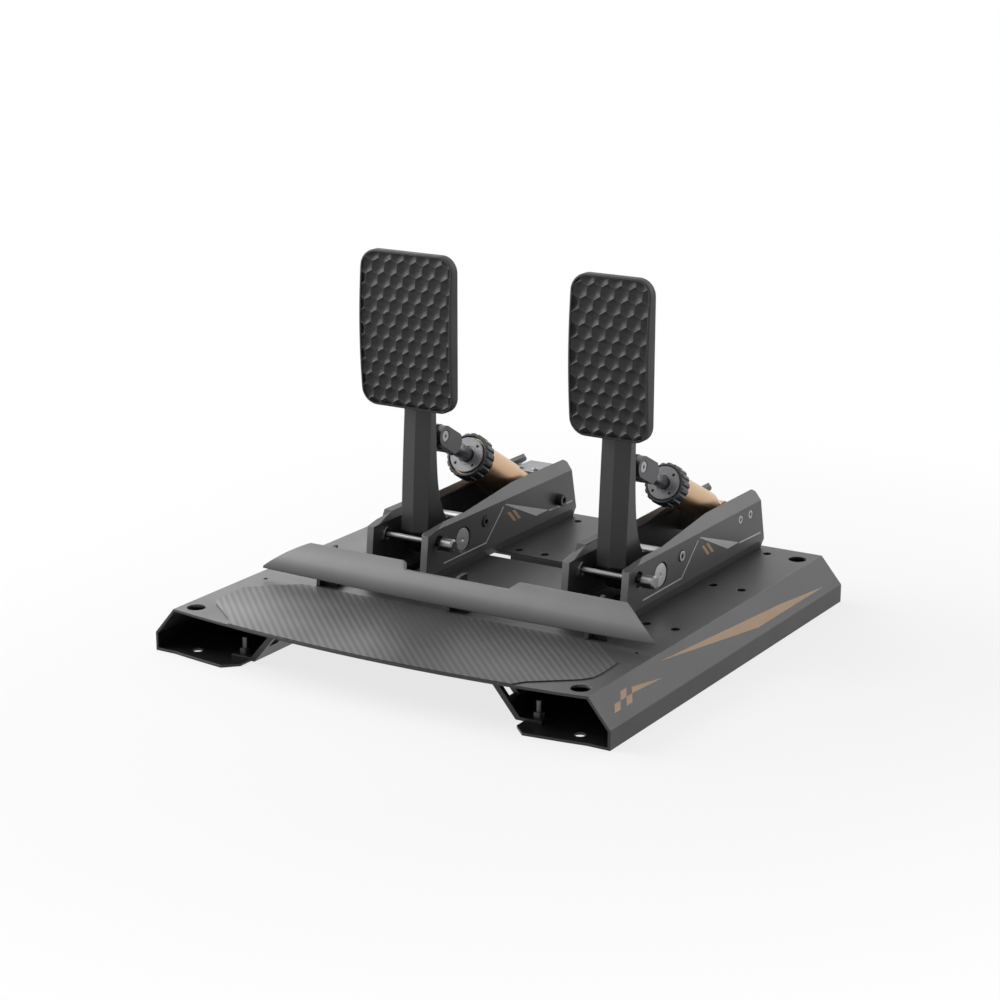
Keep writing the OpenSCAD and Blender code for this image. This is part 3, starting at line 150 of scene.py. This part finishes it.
class Finish:
    """A material whose shader nodes are added one after the other."""

    def __init__(self, name, colour, roughness, metallic=0.0, specular=0.5):
        self.material = bpy.data.materials.new(name)
        self.material.use_nodes = True
        self.tree = self.material.node_tree
        self.shader = self.tree.nodes["Principled BSDF"]
        self.colour = (*colour, 1.0)
        self.shader.inputs["Base Color"].default_value = self.colour
        self.shader.inputs["Roughness"].default_value = roughness
        self.shader.inputs["Metallic"].default_value = metallic
        self.shader.inputs["Specular IOR Level"].default_value = specular
        self.place = self.add("ShaderNodeTexCoord").outputs["Object"]

    def add(self, kind, inputs=None, **settings):
        return new_node(self.tree, kind, inputs, **settings)

    def turned(self, scale=(1, 1, 1), angles=(0, 0, 0)):
        """The place on the piece, stretched and turned."""
        inputs = {"Vector": self.place, "Scale": scale, "Rotation": angles}
        return self.add("ShaderNodeMapping", inputs).outputs["Vector"]

    def axes(self, place):
        return self.add("ShaderNodeSeparateXYZ", {0: place}).outputs

    def noise(self, scale, detail=3.0, rough=0.55, place=None):
        inputs = {"Vector": place or self.place, "Scale": scale, "Detail": detail, "Roughness": rough}
        return self.add("ShaderNodeTexNoise", inputs).outputs["Fac"]

    def math(self, kind, a, b=0.0, clamp=False):
        return self.add("ShaderNodeMath", {0: a, 1: b}, operation=kind, use_clamp=clamp).outputs[0]

    def blend(self, a, b, share):
        """A share of one value and the rest of another."""
        return self.math("ADD", self.math("MULTIPLY", a, share), self.math("MULTIPLY", b, 1 - share))

    def spread(self, value, low, high, to_low, to_high):
        """The value between low and high, spread from to_low to to_high."""
        inputs = {"Value": value, "From Min": low, "From Max": high, "To Min": to_low, "To Max": to_high}
        return self.add("ShaderNodeMapRange", inputs).outputs["Result"]

    def mixed(self, share, a, b):
        return self.add("ShaderNodeMix", {0: share, 6: a, 7: b}, data_type="RGBA").outputs[2]

    def shades(self, value, dark, light):
        """The base colour times a factor that runs from dark to light with the value."""
        factor = self.spread(value, 0.3, 0.7, dark, light)
        return self.add("ShaderNodeVectorMath", {0: self.colour[:3], 3: factor}, operation="SCALE").outputs[0]

    def edges(self, radius):
        """A normal rounded over the edges, and a mask that is 1 on the edges."""
        soft = self.add("ShaderNodeBevel", {"Radius": radius}, samples=6).outputs["Normal"]
        flat = self.add("ShaderNodeNewGeometry").outputs["Normal"]
        along = self.add("ShaderNodeVectorMath", {0: soft, 1: flat}, operation="DOT_PRODUCT")
        mask = self.spread(along.outputs["Value"], 0.995, 0.86, 0.0, 1.0)
        return soft, mask

    def edged(self, coat, rim, share, colour):
        """The coat with a share of another colour on its edges."""
        return self.mixed(self.math("MULTIPLY", rim, share), coat, (*colour, 1))

    def bumped(self, height, distance, normal=None):
        inputs = {"Height": height, "Distance": distance}
        if normal is not None:
            inputs["Normal"] = normal
        return self.add("ShaderNodeBump", inputs).outputs["Normal"]

    def use(self, colour, roughness, normal):
        """The finished material, with these three joined to its shader."""
        for key, value in (("Base Color", colour), ("Roughness", roughness), ("Normal", normal)):
            self.tree.links.new(value, self.shader.inputs[key])
        return self.material


# ---------- finishes ----------

def grey(level, blue):
    """A grey whose blue may differ a little."""
    return (level, level, blue)


def toned(colour, factor):
    return tuple(min(1, part * factor) for part in colour)


def powder_coat(name, colour, edge, roughness=0.4, specular=0.5, grain=0.00003, round_over=0.0007,
                cut_colour=None, painted_low_shade=None):
    """Satin powder coat: fine orange peel, faint cloudiness, and edges of a tone of their own.

    A cut colour shows on what faces forwards, and a painted shade darkens what lies below a height.
    """
    f = Finish(name, colour, roughness, specular=specular)
    fine = f.noise(1900, detail=2.0)
    cloud = f.noise(22, detail=4.0)
    soft, rim = f.edges(round_over)
    coat = f.shades(f.blend(fine, cloud, 0.35), 0.9, 1.1)
    if cut_colour:
        facing = f.axes(f.add("ShaderNodeNewGeometry").outputs["True Normal"])["Y"]
        front = f.spread(facing, -0.9, -0.97, 0.0, 1.0)
        grained = f.noise(900, place=f.turned(scale=(1, 1, 0.08)))
        shade = f.mixed(grained, (*toned(cut_colour, 0.8), 1), (*cut_colour, 1))
        coat = f.mixed(front, coat, shade)
    # Edges and creases take the edge tone in patches: rubbed wear where it is lighter than the coat, painted
    # shade where it is darker.
    wear_and_crease_shade = f.spread(f.noise(260, detail=4.0), 0.35, 0.65, 0.45, 1.0)
    coat = f.edged(coat, rim, wear_and_crease_shade, edge)
    # Painted shade: below a height the coat turns nearly black, darker towards the bottom.
    if painted_low_shade:
        start, end = painted_low_shade
        low = f.spread(f.axes(f.place)["Z"], start, end, 0.85, 0.0)
        coat = f.mixed(low, coat, (*grey(0.004, 0.004), 1))
    rough = f.spread(f.blend(fine, cloud, 0.5), 0.3, 0.7, roughness - 0.07, roughness + 0.07)
    return f.use(coat, rough, f.bumped(fine, grain, normal=soft))


def turned_metal(name, colour, roughness, along, angles=(0, 0, 0), variation=0.12):
    """Turned or brushed metal whose fine lines run square to one axis."""
    f = Finish(name, colour, roughness, metallic=1.0)
    line = f.noise(1, detail=4.0, rough=0.7, place=f.turned(along, angles))
    cloud = f.noise(60)
    soft, rim = f.edges(0.0005)
    coat = f.shades(f.blend(line, cloud, 0.9), 1 - variation, 1 + variation)
    coat = f.edged(coat, rim, 0.5, toned(colour, 1.35))
    rough = f.spread(line, 0.25, 0.75, roughness - 0.06, roughness + 0.08)
    return f.use(coat, rough, f.bumped(line, 0.000012, normal=soft))


def grained_alloy(name, colour, roughness):
    """Fine blasted alloy."""
    f = Finish(name, colour, roughness, metallic=0.85)
    fine = f.noise(2600, detail=2.0)
    cloud = f.noise(90)
    soft, rim = f.edges(0.0004)
    coat = f.shades(f.blend(fine, cloud, 0.6), 0.86, 1.14)
    coat = f.edged(coat, rim, 0.6, toned(colour, 1.5))
    rough = f.spread(fine, 0.3, 0.7, roughness - 0.05, roughness + 0.08)
    return f.use(coat, rough, f.bumped(fine, 0.00002, normal=soft))


def moulded(name, colour, roughness, edge, specular=0.5):
    """Moulded plastic or rubber with a fine spark-eroded grain."""
    f = Finish(name, colour, roughness, specular=specular)
    fine = f.noise(1500, detail=2.5)
    cloud = f.noise(45)
    soft, rim = f.edges(0.0005)
    coat = f.shades(f.blend(fine, cloud, 0.5), 0.88, 1.12)
    coat = f.edged(coat, rim, 0.7, edge)
    rough = f.spread(cloud, 0.3, 0.7, roughness - 0.05, roughness + 0.06)
    return f.use(coat, rough, f.bumped(fine, 0.00002, normal=soft))


def painted_sheen_areas(f):
    """Painted sheen on the foot sheet: light at the left and the front, dark at the back and along a slant.
    """
    axes = f.axes(f.place)
    slant = f.math("ADD", axes["X"], f.math("MULTIPLY", axes["Y"], 0.417))
    off_slant = f.math("ABSOLUTE", f.math("ADD", slant, 0.046))
    areas = f.spread(off_slant, 0.004, 0.036, -0.4, 0.0)
    for axis, low, high, at_low, at_high in (
            ("X", -0.15, -0.07, 0.45, 0.0), ("Y", -0.165, -0.108, 0.26, -0.22)):
        areas = f.math("ADD", areas, f.spread(axes[axis], low, high, at_low, at_high))
    return f.math("ADD", areas, f.spread(f.noise(14, detail=1.0), 0.35, 0.65, -0.08, 0.08))


def twill_sheet(name, dark, light):
    """Thin sheet of soft diagonal bands, with a painted sheen that comes and goes over broad slanted areas.
    """
    f = Finish(name, light, 0.42)
    slanted = f.axes(f.turned(angles=(0, 0, math.radians(-45))))["X"]
    wander = f.math("MULTIPLY", f.noise(30, detail=2.0), 0.9)
    phase = f.math("ADD", f.math("MULTIPLY", slanted, 2 * math.pi / TWILL_PITCH), wander)
    band = f.spread(f.math("SINE", phase), -1.0, 1.0, 0.0, 1.0)
    thread = f.noise(1, detail=2.0, place=f.turned((2200, 420, 900), (0, 0, math.radians(14))))
    share = f.math("ADD", f.math("MULTIPLY", band, 0.34), f.math("MULTIPLY", thread, 0.16))
    # Painted sheen: broad light and dark areas shift the bands towards the light tone or the dark tone.
    share = f.math("ADD", share, painted_sheen_areas(f), clamp=True)
    soft, rim = f.edges(0.0003)
    coat = f.edged(f.mixed(share, (*dark, 1), (*light, 1)), rim, 0.6, grey(0.01, 0.01))
    height = f.math("ADD", band, f.math("MULTIPLY", thread, 0.2))
    return f.use(coat, f.spread(share, 0.0, 1.0, 0.6, 0.38), f.bumped(height, 0.00005, normal=soft))


def circuit_board(name):
    """Green board with darker tracks."""
    f = Finish(name, (0.02, 0.13, 0.06), 0.4)
    cells = f.add("ShaderNodeTexVoronoi", {"Vector": f.place, "Scale": 260.0},
                  distance="MANHATTAN").outputs["Distance"]
    track = f.spread(cells, 0.12, 0.2, 0.0, 1.0)
    coat = f.mixed(track, (0.05, 0.2, 0.08, 1), f.colour)
    return f.use(coat, f.spread(cells, 0.0, 0.6, 0.3, 0.5), f.bumped(cells, 0.00003))


def printed(name, colour):
    """Printed stripe: even ink with a faint mottle over the coat's grain."""
    f = Finish(name, colour, 0.42, specular=0.35)
    fine = f.noise(1900, detail=2.0)
    cloud = f.noise(70)
    coat = f.shades(f.blend(fine, cloud, 0.4), 0.92, 1.07)
    return f.use(coat, f.spread(fine, 0.3, 0.7, 0.37, 0.49), f.bumped(fine, 0.00002))


def damper_turn(which):
    """Angles that lay the damper's axis along Z."""
    y, z = DAMPER_AXIS[which][1:]
    return (math.atan2(y, -z) + math.pi, 0, 0)


RIB_ALONG_X = (2600, 60, 60)
RIB_ALONG_Z = (60, 60, 2600)
FINISHES = {
    # Base: its edge tone, darker than the coat, is painted shade in creases and holes, and its skirt is
    # painted darker towards the bottom.
    "base": powder_coat("base_powder_coat", grey(0.038, 0.040), edge=grey(0.014, 0.015), round_over=0.0009,
                        cut_colour=grey(0.03, 0.031), painted_low_shade=(0.0135, 0.0150)),
    "plate": powder_coat("plate_powder_coat", grey(0.066, 0.070), edge=grey(0.20, 0.21),
                         cut_colour=grey(0.26, 0.265)),
    # Heel stop: painted darker towards its lower edge, as shade.
    "heel": powder_coat("heel_powder_coat", grey(0.19, 0.194), edge=grey(0.28, 0.285), roughness=0.42,
                        painted_low_shade=(0.0405, 0.0520)),
    "arm": powder_coat("arm_anodised", grey(0.031, 0.033), edge=grey(0.12, 0.125), roughness=0.36,
                       specular=0.42, grain=0.000015),
    "black": powder_coat("black_coat", grey(0.012, 0.013), edge=grey(0.05, 0.052)),
    "sheet": twill_sheet("foot_twill", grey(0.010, 0.011), grey(0.11, 0.113)),
    "pad": moulded("pad_black", grey(0.036, 0.038), 0.52, edge=grey(0.065, 0.068), specular=0.38),
    "ring": moulded("ring_black", (0.015, 0.017, 0.021), 0.28, edge=(0.05, 0.055, 0.065)),
    "plastic": moulded("box_plastic", grey(0.018, 0.019), 0.5, edge=grey(0.035, 0.036)),
    "rubber": moulded("black_rubber", grey(0.015, 0.015), 0.7, edge=grey(0.03, 0.03), specular=0.25),
    "steel": turned_metal("turned_steel", grey(0.34, 0.35), 0.32, RIB_ALONG_X),
    "dark steel": turned_metal("blackened_steel", grey(0.11, 0.115), 0.36, RIB_ALONG_X),
    "fork alloy": grained_alloy("fork_alloy", grey(0.11, 0.115), 0.45),
    "cap alloy": grained_alloy("cap_alloy", grey(0.17, 0.175), 0.5),
    "tie steel": turned_metal("tie_steel", grey(0.20, 0.205), 0.3, RIB_ALONG_X),
    "disc alloy": turned_metal("brushed_disc", grey(0.52, 0.53), 0.36, RIB_ALONG_Z, variation=0.3),
    "alloy": grained_alloy("satin_alloy", grey(0.27, 0.28), 0.45),
    "magnet": turned_metal("plated_magnet", grey(0.7, 0.72), 0.18, RIB_ALONG_X),
    "board": circuit_board("green_board"),
    "bronze ink": printed("bronze_ink", (0.60, 0.40, 0.245)),
    "pale ink": printed("pale_ink", grey(0.72, 0.73)),
}
for which in PEDALS:
    turn = damper_turn(which)
    FINISHES["bronze " + which] = turned_metal(
        "bronze_" + which, (0.56, 0.38, 0.235), 0.34, RIB_ALONG_Z, turn, variation=0.05)
    FINISHES["rod " + which] = turned_metal("rod_" + which, grey(0.3, 0.31), 0.28, RIB_ALONG_Z, turn)

FINISH_OF = {
    "base_plate": "base", "foot_grip_sheet": "sheet", "heel_stop": "heel",
    "heel_stop_brackets": "black", "heel_stop_screws": "black", "left_deck_brace": "base",
    "right_deck_brace": "base", "brace_studs": "dark steel", "brace_nuts": "dark steel",
    "controller_box": "plastic", "controller_board": "board", "controller_screws": "steel",
    "deck_bolts": "black", "tie_rods": "tie steel", "spacer_tubes": "steel", "frame_nuts": "steel",
    "pivot_bearings": "alloy", "brake_frame_screw": "black", "throttle_frame_screw": "steel",
    "brake_rubber_stack": "rubber", "brake_load_cell": "alloy", "brake_load_cell_screws": "steel",
    "brake_rear_bolt": "black", "brake_rear_nut": "steel", "throttle_return_spring": "steel",
    "throttle_rear_mount": "alloy", "throttle_rear_pin": "steel", "throttle_mount_screws": "steel",
}
FINISH_OF_EACH = {
    "left_side_plate": "plate", "right_side_plate": "plate", "pivot_axle": "disc alloy",
    "pedal_arm": "arm", "face_bracket": "black", "pedal_face": "pad", "face_screws": "black",
    "sensor_housing": "plastic", "sensor_board": "board", "sensor_magnet": "magnet",
    "damper_end_cap": "cap alloy", "preload_ring": "ring", "rod_fork": "fork alloy", "fork_pin": "steel",
}


def dress_nodes():
    """Gives each node of the construction its finish."""
    chosen = dict(FINISH_OF)
    for which in PEDALS:
        for part, finish in FINISH_OF_EACH.items():
            chosen[which + "_" + part] = finish
        chosen[which + "_damper_cylinder"] = "bronze " + which
        chosen[which + "_piston_rod"] = "rod " + which
    for name, piece in NODES.items():
        material = FINISHES[chosen[name]]
        if not piece.data.materials:
            piece.data.materials.append(material)
        for slot in piece.material_slots:
            slot.material = material


# ---------- making pieces ----------

def placed_mesh(bm, name, material):
    """A new object in the scene with this mesh and material."""
    mesh = bpy.data.meshes.new(name)
    bm.to_mesh(mesh)
    bm.free()
    mesh.materials.append(material)
    placed = bpy.data.objects.new(name, mesh)
    bpy.context.scene.collection.objects.link(placed)
    return placed


def finished_piece(bm, name, body, finish, replaced=()):
    """A piece that moves with a body and can be recoloured by its slot."""
    piece = placed_mesh(bm, name, FINISHES[finish])
    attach(piece, body)
    if replaced:
        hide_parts(*replaced)
    return piece


def sharpen_creases(bm, angle):
    """Smooth shading everywhere but on edges that turn more than the angle, in degrees."""
    for face in bm.faces:
        face.smooth = True
    for edge in bm.edges:
        edge.smooth = edge.calc_face_angle(0) < math.radians(angle)


# ---------- pads ----------

def pit_cells(bm, width, height):
    """Six-sided cells that share their edges, over more than the pad's face."""
    row_step = PIT_PITCH * math.sqrt(3) / 2
    rows = math.ceil(height / row_step / 2) + 1
    cols = math.ceil(width / PIT_PITCH / 2) + 1
    for row in range(-rows, rows + 1):
        for col in range(-cols, cols + 1):
            x = (col + (row % 2) / 2) * PIT_PITCH + PIT_SHIFT[0]
            y = row * row_step + PIT_SHIFT[1]
            bmesh.ops.create_circle(bm, cap_ends=True, segments=6, radius=PIT_PITCH / math.sqrt(3),
                                    matrix=Matrix.Translation((x, y, 0)))
    bmesh.ops.remove_doubles(bm, verts=bm.verts[:], dist=0.01)
    bmesh.ops.subdivide_edges(bm, edges=bm.edges[:], cuts=1)
    bmesh.ops.recalc_face_normals(bm, faces=bm.faces[:])


def hollow_cells(bm):
    """Each cell sinks into a smooth bowl, ring by ring."""
    cells = bm.faces[:]
    middles = {cell: cell.calc_center_median() for cell in cells}
    for ring in PIT_RINGS:
        bmesh.ops.inset_individual(bm, faces=cells, thickness=0.1)
        for cell in cells:
            for corner in cell.verts:
                away = corner.co - middles[cell]
                away.z = 0
                along = away.normalized()
                # The ridge is nearest in the six directions square to it, and furthest at the corners
                off_square = (math.atan2(along.y, along.x) + math.pi / 6) % (math.pi / 3) - math.pi / 6
                to_ridge = PIT_PITCH / 2 / math.cos(off_square)
                reach = ring * (ring * to_ridge + (1 - ring) * PIT_PITCH * PIT_ROUND)
                corner.co = middles[cell] + along * reach
                corner.co.z = PIT_DEEP * (ring ** 2 - 1)


def rim_planes(half_w, half_h, corner):
    """Points and outward directions of the flat cuts that leave a rounded rectangle."""
    for sx, sy in ((1, 1), (-1, 1), (-1, -1), (1, -1)):
        centre = Vector((sx * (half_w - corner), sy * (half_h - corner), 0))
        for i in range(CORNER_STEPS + 1):
            angle = math.pi / 2 * i / CORNER_STEPS
            away = Vector((sx * math.cos(angle), sy * math.sin(angle), 0))
            yield centre + away * corner, away


def trim_to_rim(bm, half_w, half_h, corner):
    """Cuts away what lies outside a rounded rectangle."""
    for point, away in rim_planes(half_w, half_h, corner):
        bmesh.ops.bisect_plane(bm, geom=bm.verts[:] + bm.edges[:] + bm.faces[:], dist=0.001,
                               plane_co=point, plane_no=away, clear_outer=True)
    bmesh.ops.dissolve_degenerate(bm, dist=0.01, edges=bm.edges[:])


def open_edges(bm):
    return [edge for edge in bm.edges if len(edge.link_faces) == 1]


def grow_rim(bm, half_w, half_h, corner, out, below):
    """A new ring outside the open edges, at a distance out from the trimmed rim and a depth below."""
    made = bmesh.ops.extrude_edge_only(bm, edges=open_edges(bm))["geom"]
    inner_w = half_w - corner
    inner_h = half_h - corner
    for vert in (part for part in made if isinstance(part, bmesh.types.BMVert)):
        x = max(-inner_w, min(inner_w, vert.co.x))
        y = max(-inner_h, min(inner_h, vert.co.y))
        away = Vector((vert.co.x - x, vert.co.y - y, 0)).normalized()
        vert.co = Vector((x, y, 0)) + away * (corner + out)
        vert.co.z = -below


def pad_depth(height):
    """How far the crowned face lies behind its foremost line, at a height from the middle."""
    radius = ((PAD_HEIGHT / 2) ** 2 + PAD_CROWN ** 2) / (2 * PAD_CROWN)
    return radius - math.sqrt(radius ** 2 - height ** 2)


def pedal_pad(which):
    """Crowned pad with six-sided hollows inside a plain rounded border."""
    bm = bmesh.new()
    inner = (PAD_WIDTH[which] / 2 - PAD_BORDER, PAD_HEIGHT / 2 - PAD_BORDER, PAD_CORNER - PAD_BORDER)
    pit_cells(bm, PAD_WIDTH[which], PAD_HEIGHT)
    hollow_cells(bm)
    trim_to_rim(bm, *inner)
    grow_rim(bm, *inner, out=0.0, below=0.0)
    flat = PAD_BORDER - PAD_ROUND
    for i in range(ROUND_STEPS + 1):
        angle = math.pi / 2 * i / ROUND_STEPS
        grow_rim(bm, *inner, out=flat + PAD_ROUND * math.sin(angle), below=PAD_ROUND * (1 - math.cos(angle)))
    thick = PAD_EDGE + PAD_CROWN
    # The back is flat, so its two rings don't follow the crown: a depth past the back marks them
    grow_rim(bm, *inner, out=PAD_BORDER, below=thick + 1)
    grow_rim(bm, *inner, out=PAD_BORDER - PAD_CHAMFER, below=thick + 2)
    bmesh.ops.contextual_create(bm, geom=open_edges(bm))
    front = PAD_BACK - thick
    for vert in bm.verts:
        past_back = -vert.co.z - thick
        if past_back <= 0:
            deep = pad_depth(vert.co.y) - vert.co.z
        else:
            deep = thick - PAD_CHAMFER if past_back < 1.5 else thick
        vert.co = Vector((PAD_X[which] + vert.co.x, front + deep, PAD_MIDDLE + vert.co.y)) * MM
    bmesh.ops.recalc_face_normals(bm, faces=bm.faces[:])
    sharpen_creases(bm, angle=33)
    finished_piece(bm, which + "_pad", which + "_pedal", "pad", (which + "_pedal_face",))


# ---------- spring and rubber rings ----------

def damper_place(which):
    """Axes whose origin is the fork pin and whose Z runs down the damper."""
    turn = Vector((0, 0, 1)).rotation_difference(Vector(DAMPER_AXIS[which])).to_matrix().to_4x4()
    return Matrix.Translation(Vector(DAMPER_PIN[which]) * MM) @ turn


def damper_span(which, node):
    """Where a node starts and ends along its damper, and its greatest radius."""
    inwards = damper_place(which).inverted()
    places = [inwards @ vert.co for vert in NODES[node].data.vertices]
    reach = [place.z for place in places]
    return min(reach), max(reach), max(math.hypot(place.x, place.y) for place in places)


def press_with_pedal(piece):
    """Gives the piece a mesh of its own."""
    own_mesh(piece)


def throttle_spring():
    """Round wire wound along the throttle's damper."""
    start, end, radius = damper_span("throttle", "throttle_return_spring")
    steps = SPRING_CURLS * STEPS_PER_CURL
    rise = (end - start - 2 * SPRING_WIRE) / steps
    bm = bmesh.new()
    first_place = Matrix.Translation((radius - SPRING_WIRE, 0, start + SPRING_WIRE))
    wire = bmesh.ops.create_circle(bm, cap_ends=False, segments=WIRE_SIDES, radius=SPRING_WIRE,
                                   matrix=first_place @ Matrix.Rotation(math.pi / 2, 4, "X"))["verts"]
    first = list({edge for vert in wire for edge in vert.link_edges})
    last = bmesh.ops.spin(bm, geom=first, cent=(0, 0, 0), axis=(0, 0, 1), dvec=(0, 0, rise),
                          angle=2 * math.pi * SPRING_CURLS, steps=steps)["geom_last"]
    for ring in (first, [part for part in last if isinstance(part, bmesh.types.BMEdge)]):
        bmesh.ops.contextual_create(bm, geom=ring)
    bmesh.ops.recalc_face_normals(bm, faces=bm.faces[:])
    bmesh.ops.transform(bm, matrix=damper_place("throttle"), verts=bm.verts[:])
    sharpen_creases(bm, angle=50)
    piece = finished_piece(bm, "throttle_spring", "throttle_damper", "steel",
                           ("throttle_return_spring",))
    press_with_pedal(piece)


def brake_rubbers():
    """The brake's rubber rings, which press together."""
    start, end, _ = damper_span("brake", "brake_rubber_stack")
    bm = bmesh.new()
    bm.from_mesh(NODES["brake_rubber_stack"].data)
    bmesh.ops.remove_doubles(bm, verts=bm.verts[:], dist=0.00001)
    sharpen_creases(bm, angle=35)
    piece = finished_piece(bm, "brake_rubbers", "brake_damper", "rubber",
                           ("brake_rubber_stack",))
    press_with_pedal(piece)


# ---------- stripes ----------

def stripe_slab(bm, outline):
    """A thin closed slab over an outline in the XY plane, from just below it to just above."""
    corners = [bm.verts.new((x, y, -STRIPE_THICK / 2)) for x, y in outline]
    bottom = bm.faces.new(corners)
    made = bmesh.ops.extrude_face_region(bm, geom=[bottom])["geom"]
    top = [part for part in made if isinstance(part, bmesh.types.BMVert)]
    bmesh.ops.translate(bm, vec=(0, 0, STRIPE_THICK), verts=top)


def printed_stripes(name, outlines, place, finish):
    """Stripes of one colour, printed on a flat face whose own axes the matrix gives."""
    bm = bmesh.new()
    for outline in outlines:
        stripe_slab(bm, outline)
    bmesh.ops.transform(bm, matrix=Matrix.Scale(MM, 4) @ place, verts=bm.verts[:])
    bmesh.ops.recalc_face_normals(bm, faces=bm.faces[:])
    finished_piece(bm, name, "frame", finish)


def face_axes(origin, along, up):
    """A matrix whose X runs along, Y up the face, and Z out of it."""
    x = Vector(along).normalized()
    y = Vector(up).normalized()
    turn = Matrix((x, y, x.cross(y))).transposed().to_4x4()
    return Matrix.Translation(origin) @ turn


def across(direction):
    """The direction turned a quarter to its left."""
    return Vector((-direction.y, direction.x))


def line_outline(points, width):
    """Outline of a line of even width through points, mitred at its bends."""
    left, right = [], []
    places = [Vector(point) for point in points]
    for i, place in enumerate(places):
        before = (place - places[i - 1] if i else places[1] - place).normalized()
        after = (places[i + 1] - place).normalized() if i + 1 < len(places) else before
        square = across((before + after).normalized())
        reach = width / 2 / max(LEAST_MITRE, square.dot(across(before)))
        left.append(tuple(place + square * reach))
        right.append(tuple(place - square * reach))
    return left + right[::-1]


def plate_stripes(which):
    """A pale line with one step, a pale taper and a pair of bronze bars on a right side plate."""
    place = face_axes((FRAME_X[which] + HALF_FRAME, FRAME_FRONT, DECK_TOP), (0, 1, 0), (0, 0, 1))
    line = line_outline([(26, 13.0), (89, 13.4), (116, 37.0)], 1.1)
    tail = line_outline([(189, 16.2), (228, 14.9)], 1.3)
    taper = [(118, 38.5), (120.5, 38.5), (188, 16.8), (168, 16.6)]
    printed_stripes(which + "_pale_stripes", [line, tail, taper], place, "pale ink")
    bars = [[(x, 30.5), (x + 4, 30.5), (x + 14, 21.0), (x + 10, 21.0)] for x in (122, 129.5)]
    printed_stripes(which + "_bronze_bars", bars, place, "bronze ink")


def base_stripes(side, label):
    """Two tapered bronze stripes and three slanted squares on a slanted side of the base."""
    low = Vector((side * HALF_BASE, BASE_FRONT, SKIRT_TOP))
    high = Vector((side * HALF_DECK, BASE_FRONT, DECK_TOP))
    place = face_axes(low, (0, side, 0), high - low)
    long_taper = [(99, 23.2), (239, 6.2), (357, 6.2), (286, 12.4)]
    short_taper = [(47, 14.2), (90, 12.2), (51, 18.2)]
    squares = [[(x, y), (x + 8.5, y), (x + 14.5, y + 5.4), (x + 6, y + 5.4)]
               for x, y in ((16, 8.8), (30.5, 14.2), (33, 8.8))]
    outlines = [[(side * x, y) for x, y in outline] for outline in (long_taper, short_taper, *squares)]
    printed_stripes(label + "_base_stripes", outlines, place, "bronze ink")


# ---------- stage ----------

def white_floor():
    """Pale floor that the seen rays find white far off, and nearly white where the shadow lies."""
    f = Finish("floor_white", FLOOR_COLOUR, 0.9, specular=0.0)
    start, end = SHADOW_REACH
    away = f.add("ShaderNodeVectorMath", {0: f.place}, operation="LENGTH").outputs["Value"]
    reach = {"Value": away, "From Min": start, "From Max": end, "To Min": SHADOW_WHITE, "To Max": 1.0}
    fade = f.add("ShaderNodeMapRange", reach, interpolation_type="SMOOTHSTEP").outputs["Result"]
    amount = f.math("MULTIPLY", seen_rays(f.tree), fade)
    white = f.add("ShaderNodeEmission").outputs[0]
    mix = f.add("ShaderNodeMixShader", {0: amount, 1: f.shader.outputs[0], 2: white}).outputs[0]
    f.tree.links.new(mix, f.tree.nodes["Material Output"].inputs["Surface"])
    return f.material


def add_floor():
    bm = bmesh.new()
    bmesh.ops.create_grid(bm, x_segments=2, y_segments=2, size=FLOOR_HALF)
    floor = placed_mesh(bm, "floor", white_floor())


def add_world():
    """A world that is white to the seen rays, and gives things only a little light."""
    world = bpy.data.worlds.new("studio")
    bpy.context.scene.world = world
    world.use_nodes = True
    tree = world.node_tree
    background = tree.nodes["Background"]
    background.inputs["Color"].default_value = (1, 1, 1, 1)
    level = new_node(tree, "ShaderNodeMapRange",
                     {"Value": seen_rays(tree), "To Min": WORLD_LIGHT, "To Max": 1.0})
    tree.links.new(level.outputs["Result"], background.inputs["Strength"])


def add_softbox(name, place, size, power):
    """A rectangular lamp that points at the object."""
    lamp = bpy.data.lights.new(name, "AREA")
    lamp.shape = "RECTANGLE"
    lamp.size, lamp.size_y = size
    lamp.energy = power
    holder = bpy.data.objects.new(name, lamp)
    bpy.context.scene.collection.objects.link(holder)
    holder.location = place
    holder.rotation_euler = (Vector(LAMP_AIM) - Vector(place)).to_track_quat("-Z", "Y").to_euler()


def add_camera():
    """The photo's camera, as it was fitted to the base, the frames and the pads."""
    data = bpy.data.cameras.new("camera")
    data.lens = LENS
    data.sensor_width = SENSOR
    camera = bpy.data.objects.new("camera", data)
    bpy.context.scene.collection.objects.link(camera)
    camera.location = CAMERA_PLACE
    camera.rotation_euler = tuple(math.radians(angle) for angle in CAMERA_TURN)
    bpy.context.scene.camera = camera


add_camera()
dress_nodes()
for which in PEDALS:
    pedal_pad(which)
    plate_stripes(which)
throttle_spring()
brake_rubbers()
base_stripes(1, "right")
base_stripes(-1, "left")
add_floor()
add_world()
for name, (place, size, power) in LAMPS.items():
    add_softbox(name, place, size, power)
bpy.context.scene.view_settings.view_transform = "Standard"
